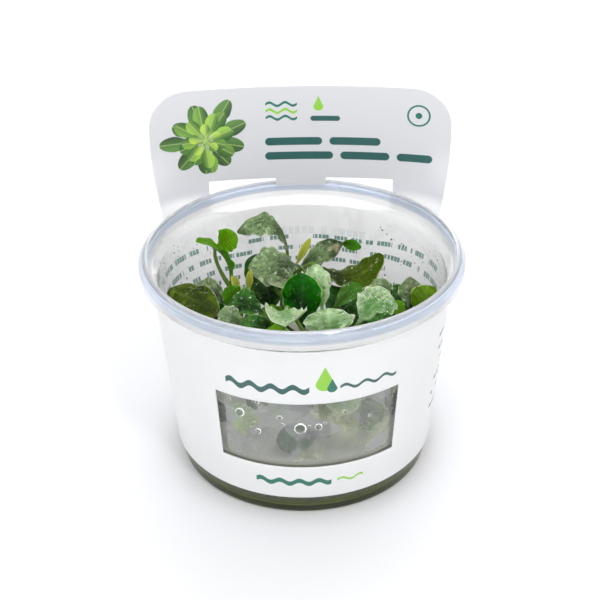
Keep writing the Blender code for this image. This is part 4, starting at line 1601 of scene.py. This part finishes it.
# %% Fog shape
FOG_LIFT = 0.04
FOG_LEFT, FOG_RIGHT = -21.4, 24.2
FOG_LEAN = 0.06
FOG_BOTTOM, FOG_TOP = 16.4, 40.2
FOG_ACROSS, FOG_UP = 140, 64


def fog_place(i, j):
    """Arc and height of a grid point. The fog widens downwards."""
    z = FOG_BOTTOM + (FOG_TOP - FOG_BOTTOM) * j / FOG_UP
    spread = FOG_LEAN * (FOG_TOP - z)
    arc = FOG_LEFT - spread + (FOG_RIGHT - FOG_LEFT + 2 * spread) * i / FOG_ACROSS
    return arc, z


def fog_mesh():
    """A grid on the wall with a hole for each large drop, which has drunk up the fog there."""
    points = []
    faces = []
    uvs = []
    for j in range(FOG_UP + 1):
        row = [fog_place(i, j) for i in range(FOG_ACROSS + 1)]
        points += [inner_wall_point(arc, z, FOG_LIFT)[0] for arc, z in row]
    for j in range(FOG_UP):
        for i in range(FOG_ACROSS):
            arc, z = fog_place(i + 0.5, j + 0.5)
            if any(math.hypot(arc - x, z - y) < size for x, y, size in WINDOW_DROPS):
                continue
            quad = ((i, j), (i + 1, j), (i + 1, j + 1), (i, j + 1))
            faces.append([b * (FOG_ACROSS + 1) + a for a, b in quad])
            uvs += [(a / FOG_ACROSS, b / FOG_UP) for a, b in quad]
    mesh = mesh_of("wall_fog", points, faces)
    layer = mesh.uv_layers.new(name="fog")
    layer.data.foreach_set("uv", np.asarray(uvs, np.float32).ravel())
    mesh.shade_smooth()
    return mesh


fog = fog_mesh()
print("fog:", triangles(fog), "triangles")


# %% Fog finish
def fog_material():
    material, tree, shader = start_material("wall_fog", ior=1.33, roughness=0.7)
    place = object_place(tree)
    green = ramp(tree, noise(tree, place, 80.0, 2.0), 0.50, 0.58)
    colour = blend(tree, green, paint("dcdce0"), paint("d2dea8"))
    tree.links.new(colour, shader.inputs["Base Color"])
    up = split(tree, add_node(tree, "ShaderNodeUVMap", uv_map="fog"))[1]
    grain = ramp(tree, noise(tree, place, 900.0, 3.0), 0.2, 0.8, 0.85, 1.1)
    cloud = ramp(tree, noise(tree, place, 110.0, 2.0), 0.44, 0.54, 0.12, 0.38)
    bottom = ramp(tree, up, 0.0, 0.04)
    alpha = times(tree, times(tree, cloud, grain), bottom)
    tree.links.new(alpha, shader.inputs["Alpha"])
    add_bump(tree, shader, noise(tree, place, 2500.0, 2.0), 0.02, 0.5)
    return material


place_piece("wall_fog", fog, fog_material())
print("fog from", FOG_LEFT, "to", FOG_RIGHT, "mm along the wall")

# %% [markdown]
# ## Specks
#
# Crumbs of leaf and gel stick to the upper wall at both sides. Each is a little lump, so a
# squashed icosphere of twenty faces with a bump from noise is enough. The largest are listed
# one by one and the others are strewn at random.

# %% Specks
SPECK_LIFT = 0.06
SMALL_SPECKS = 70


def speck_material():
    material, tree, shader = start_material("crumb", roughness=0.6)
    shade = noise(tree, object_place(tree), 700.0, 2.0)
    colour = blend(tree, ramp(tree, shade, 0.35, 0.65), paint("1d2416"), paint("4a4a2a"))
    tree.links.new(colour, shader.inputs["Base Color"])
    add_bump(tree, shader, shade, 0.05, 0.5)
    return material


def lump(tree):
    ball = add_node(tree, "GeometryNodeMeshIcoSphere", {0: MM, 1: 1})
    return add_node(tree, "GeometryNodeTransform", {0: ball, 3: (1.0, 0.7, 0.35)})


# The specks that the photo shows best: arc and height on the wall, and size, in mm.
LARGE_SPECKS = (
    (94.2, 49.0, 0.36), (92.5, 48.3, 0.28), (90.8, 47.2, 0.42), (86.8, 47.3, 0.30),
    (85.9, 47.2, 0.34), (92.1, 35.7, 0.38), (80.5, 44.0, 0.26), (-74.2, 51.0, 0.34),
    (-78.6, 41.0, 0.40), (-70.0, 46.5, 0.26),
)
speck_rows = [(*inner_wall_point(arc, z, SPECK_LIFT), size) for arc, z, size in LARGE_SPECKS]
for _ in range(SMALL_SPECKS):
    side = random.choice([-1.0, 1.0])
    arc, z = side * random.uniform(52.0, 96.0), random.uniform(40.0, 52.5)
    size = 0.10 + 0.22 * random.random() ** 3
    speck_rows.append((*inner_wall_point(arc, z, SPECK_LIFT), size))
speck_tree = planted_tree("specks", lump, speck_material())
place_planted("wall_specks", speck_rows, speck_tree)
print(len(speck_rows), "specks on the wall")

# %% [markdown]
# ## The studio
#
# The object stands on a plain pale floor under wide soft lights. The floor is so large that
# the camera sees nothing else behind the object.

# %% Floor
FLOOR_SIZE = 6.0


def floor_material():
    material, tree, shader = start_material("studio_floor", roughness=0.6)
    shade = noise(tree, object_place(tree), 3.0, 2.0)
    colour = blend(tree, shade, paint("d4d4d6"), paint("d7d7d9"))
    tree.links.new(colour, shader.inputs["Base Color"])
    shader.inputs["Specular IOR Level"].default_value = 0.2
    return material


half = FLOOR_SIZE / 2
floor_mesh = bpy.data.meshes.new("studio_floor")
corners = [(-half, -half, 0), (half, -half, 0), (half, half, 0), (-half, half, 0)]
floor_mesh.from_pydata(corners, [], [(0, 1, 2, 3)])
floor = bpy.data.objects.new("studio_floor", floor_mesh)
floor.location.z = -0.05 * MM
floor_mesh.materials.append(floor_material())
bpy.context.scene.collection.objects.link(floor)
print("floor", FLOOR_SIZE, "m wide")


# %% Lights
def add_light(name, place, aim, size, watts):
    """A square soft light that looks at a point."""
    data = bpy.data.lights.new(name, "AREA")
    data.shape = "SQUARE"
    data.size = size
    data.energy = watts
    lamp = bpy.data.objects.new(name, data)
    bpy.context.scene.collection.objects.link(lamp)
    way = np.array(aim, float) - np.array(place, float)
    lamp.location = place
    lamp.rotation_euler = Vector(way).to_track_quat("-Z", "Y").to_euler()


world = bpy.data.worlds.new("studio")
world.use_nodes = True
world.node_tree.nodes["Background"].inputs["Color"].default_value = (1.0, 1.0, 1.0, 1.0)
world.node_tree.nodes["Background"].inputs["Strength"].default_value = 1.0
bpy.context.scene.world = world
bpy.context.scene.view_settings.view_transform = "Standard"
add_light("sky_panel", (0.0, -0.1, 1.3), (0.0, 0.0, 0.0), 1.2, 5.0)
add_light("front_panel", (-0.2, -1.2, 0.7), (0.0, 0.0, 0.03), 0.8, 5.5)
add_light("back_panel", (0.2, 1.2, 0.5), (0.0, 0.0, 0.05), 1.2, 8.0)
add_light("key_lamp", (0.25, -0.55, 0.85), (0.0, 0.0, 0.05), 0.12, 1.6)
print("a white world, three panels and a lamp")

# %% [markdown]
# The camera was fitted to the photo: 30 cm in front of the cup's axis, 22.5 cm above the floor
# and looking down by 31 degrees.

# %% Camera
CAMERA_PLACE = (0.0, -0.300, 0.2252)
CAMERA_PITCH = math.radians(31.13)
CAMERA_YAW = math.radians(-0.12)
CAMERA_ROLL = math.radians(-0.79)
CAMERA_FOCAL_PIXELS = 1331.4
IMAGE_PIXELS = 600
SENSOR_WIDTH = 36.0
flat_reach = math.cos(CAMERA_PITCH)
forward = Vector((math.sin(CAMERA_YAW) * flat_reach, math.cos(CAMERA_YAW) * flat_reach,
                  -math.sin(CAMERA_PITCH)))
level = Vector((math.cos(CAMERA_YAW), -math.sin(CAMERA_YAW), 0.0))
above = level.cross(forward)
right = math.cos(CAMERA_ROLL) * level + math.sin(CAMERA_ROLL) * above
above = math.cos(CAMERA_ROLL) * above - math.sin(CAMERA_ROLL) * level
lens = bpy.data.cameras.new("camera")
lens.sensor_width = SENSOR_WIDTH
lens.lens = SENSOR_WIDTH * CAMERA_FOCAL_PIXELS / IMAGE_PIXELS
lens.clip_start = 0.01
camera = bpy.data.objects.new("camera", lens)
camera.matrix_world = Matrix((
    (right.x, above.x, -forward.x, CAMERA_PLACE[0]),
    (right.y, above.y, -forward.y, CAMERA_PLACE[1]),
    (right.z, above.z, -forward.z, CAMERA_PLACE[2]),
    (0.0, 0.0, 0.0, 1.0)))
bpy.context.scene.collection.objects.link(camera)
bpy.context.scene.camera = camera
print("lens:", round(lens.lens, 1), "mm on a 36 mm sensor")
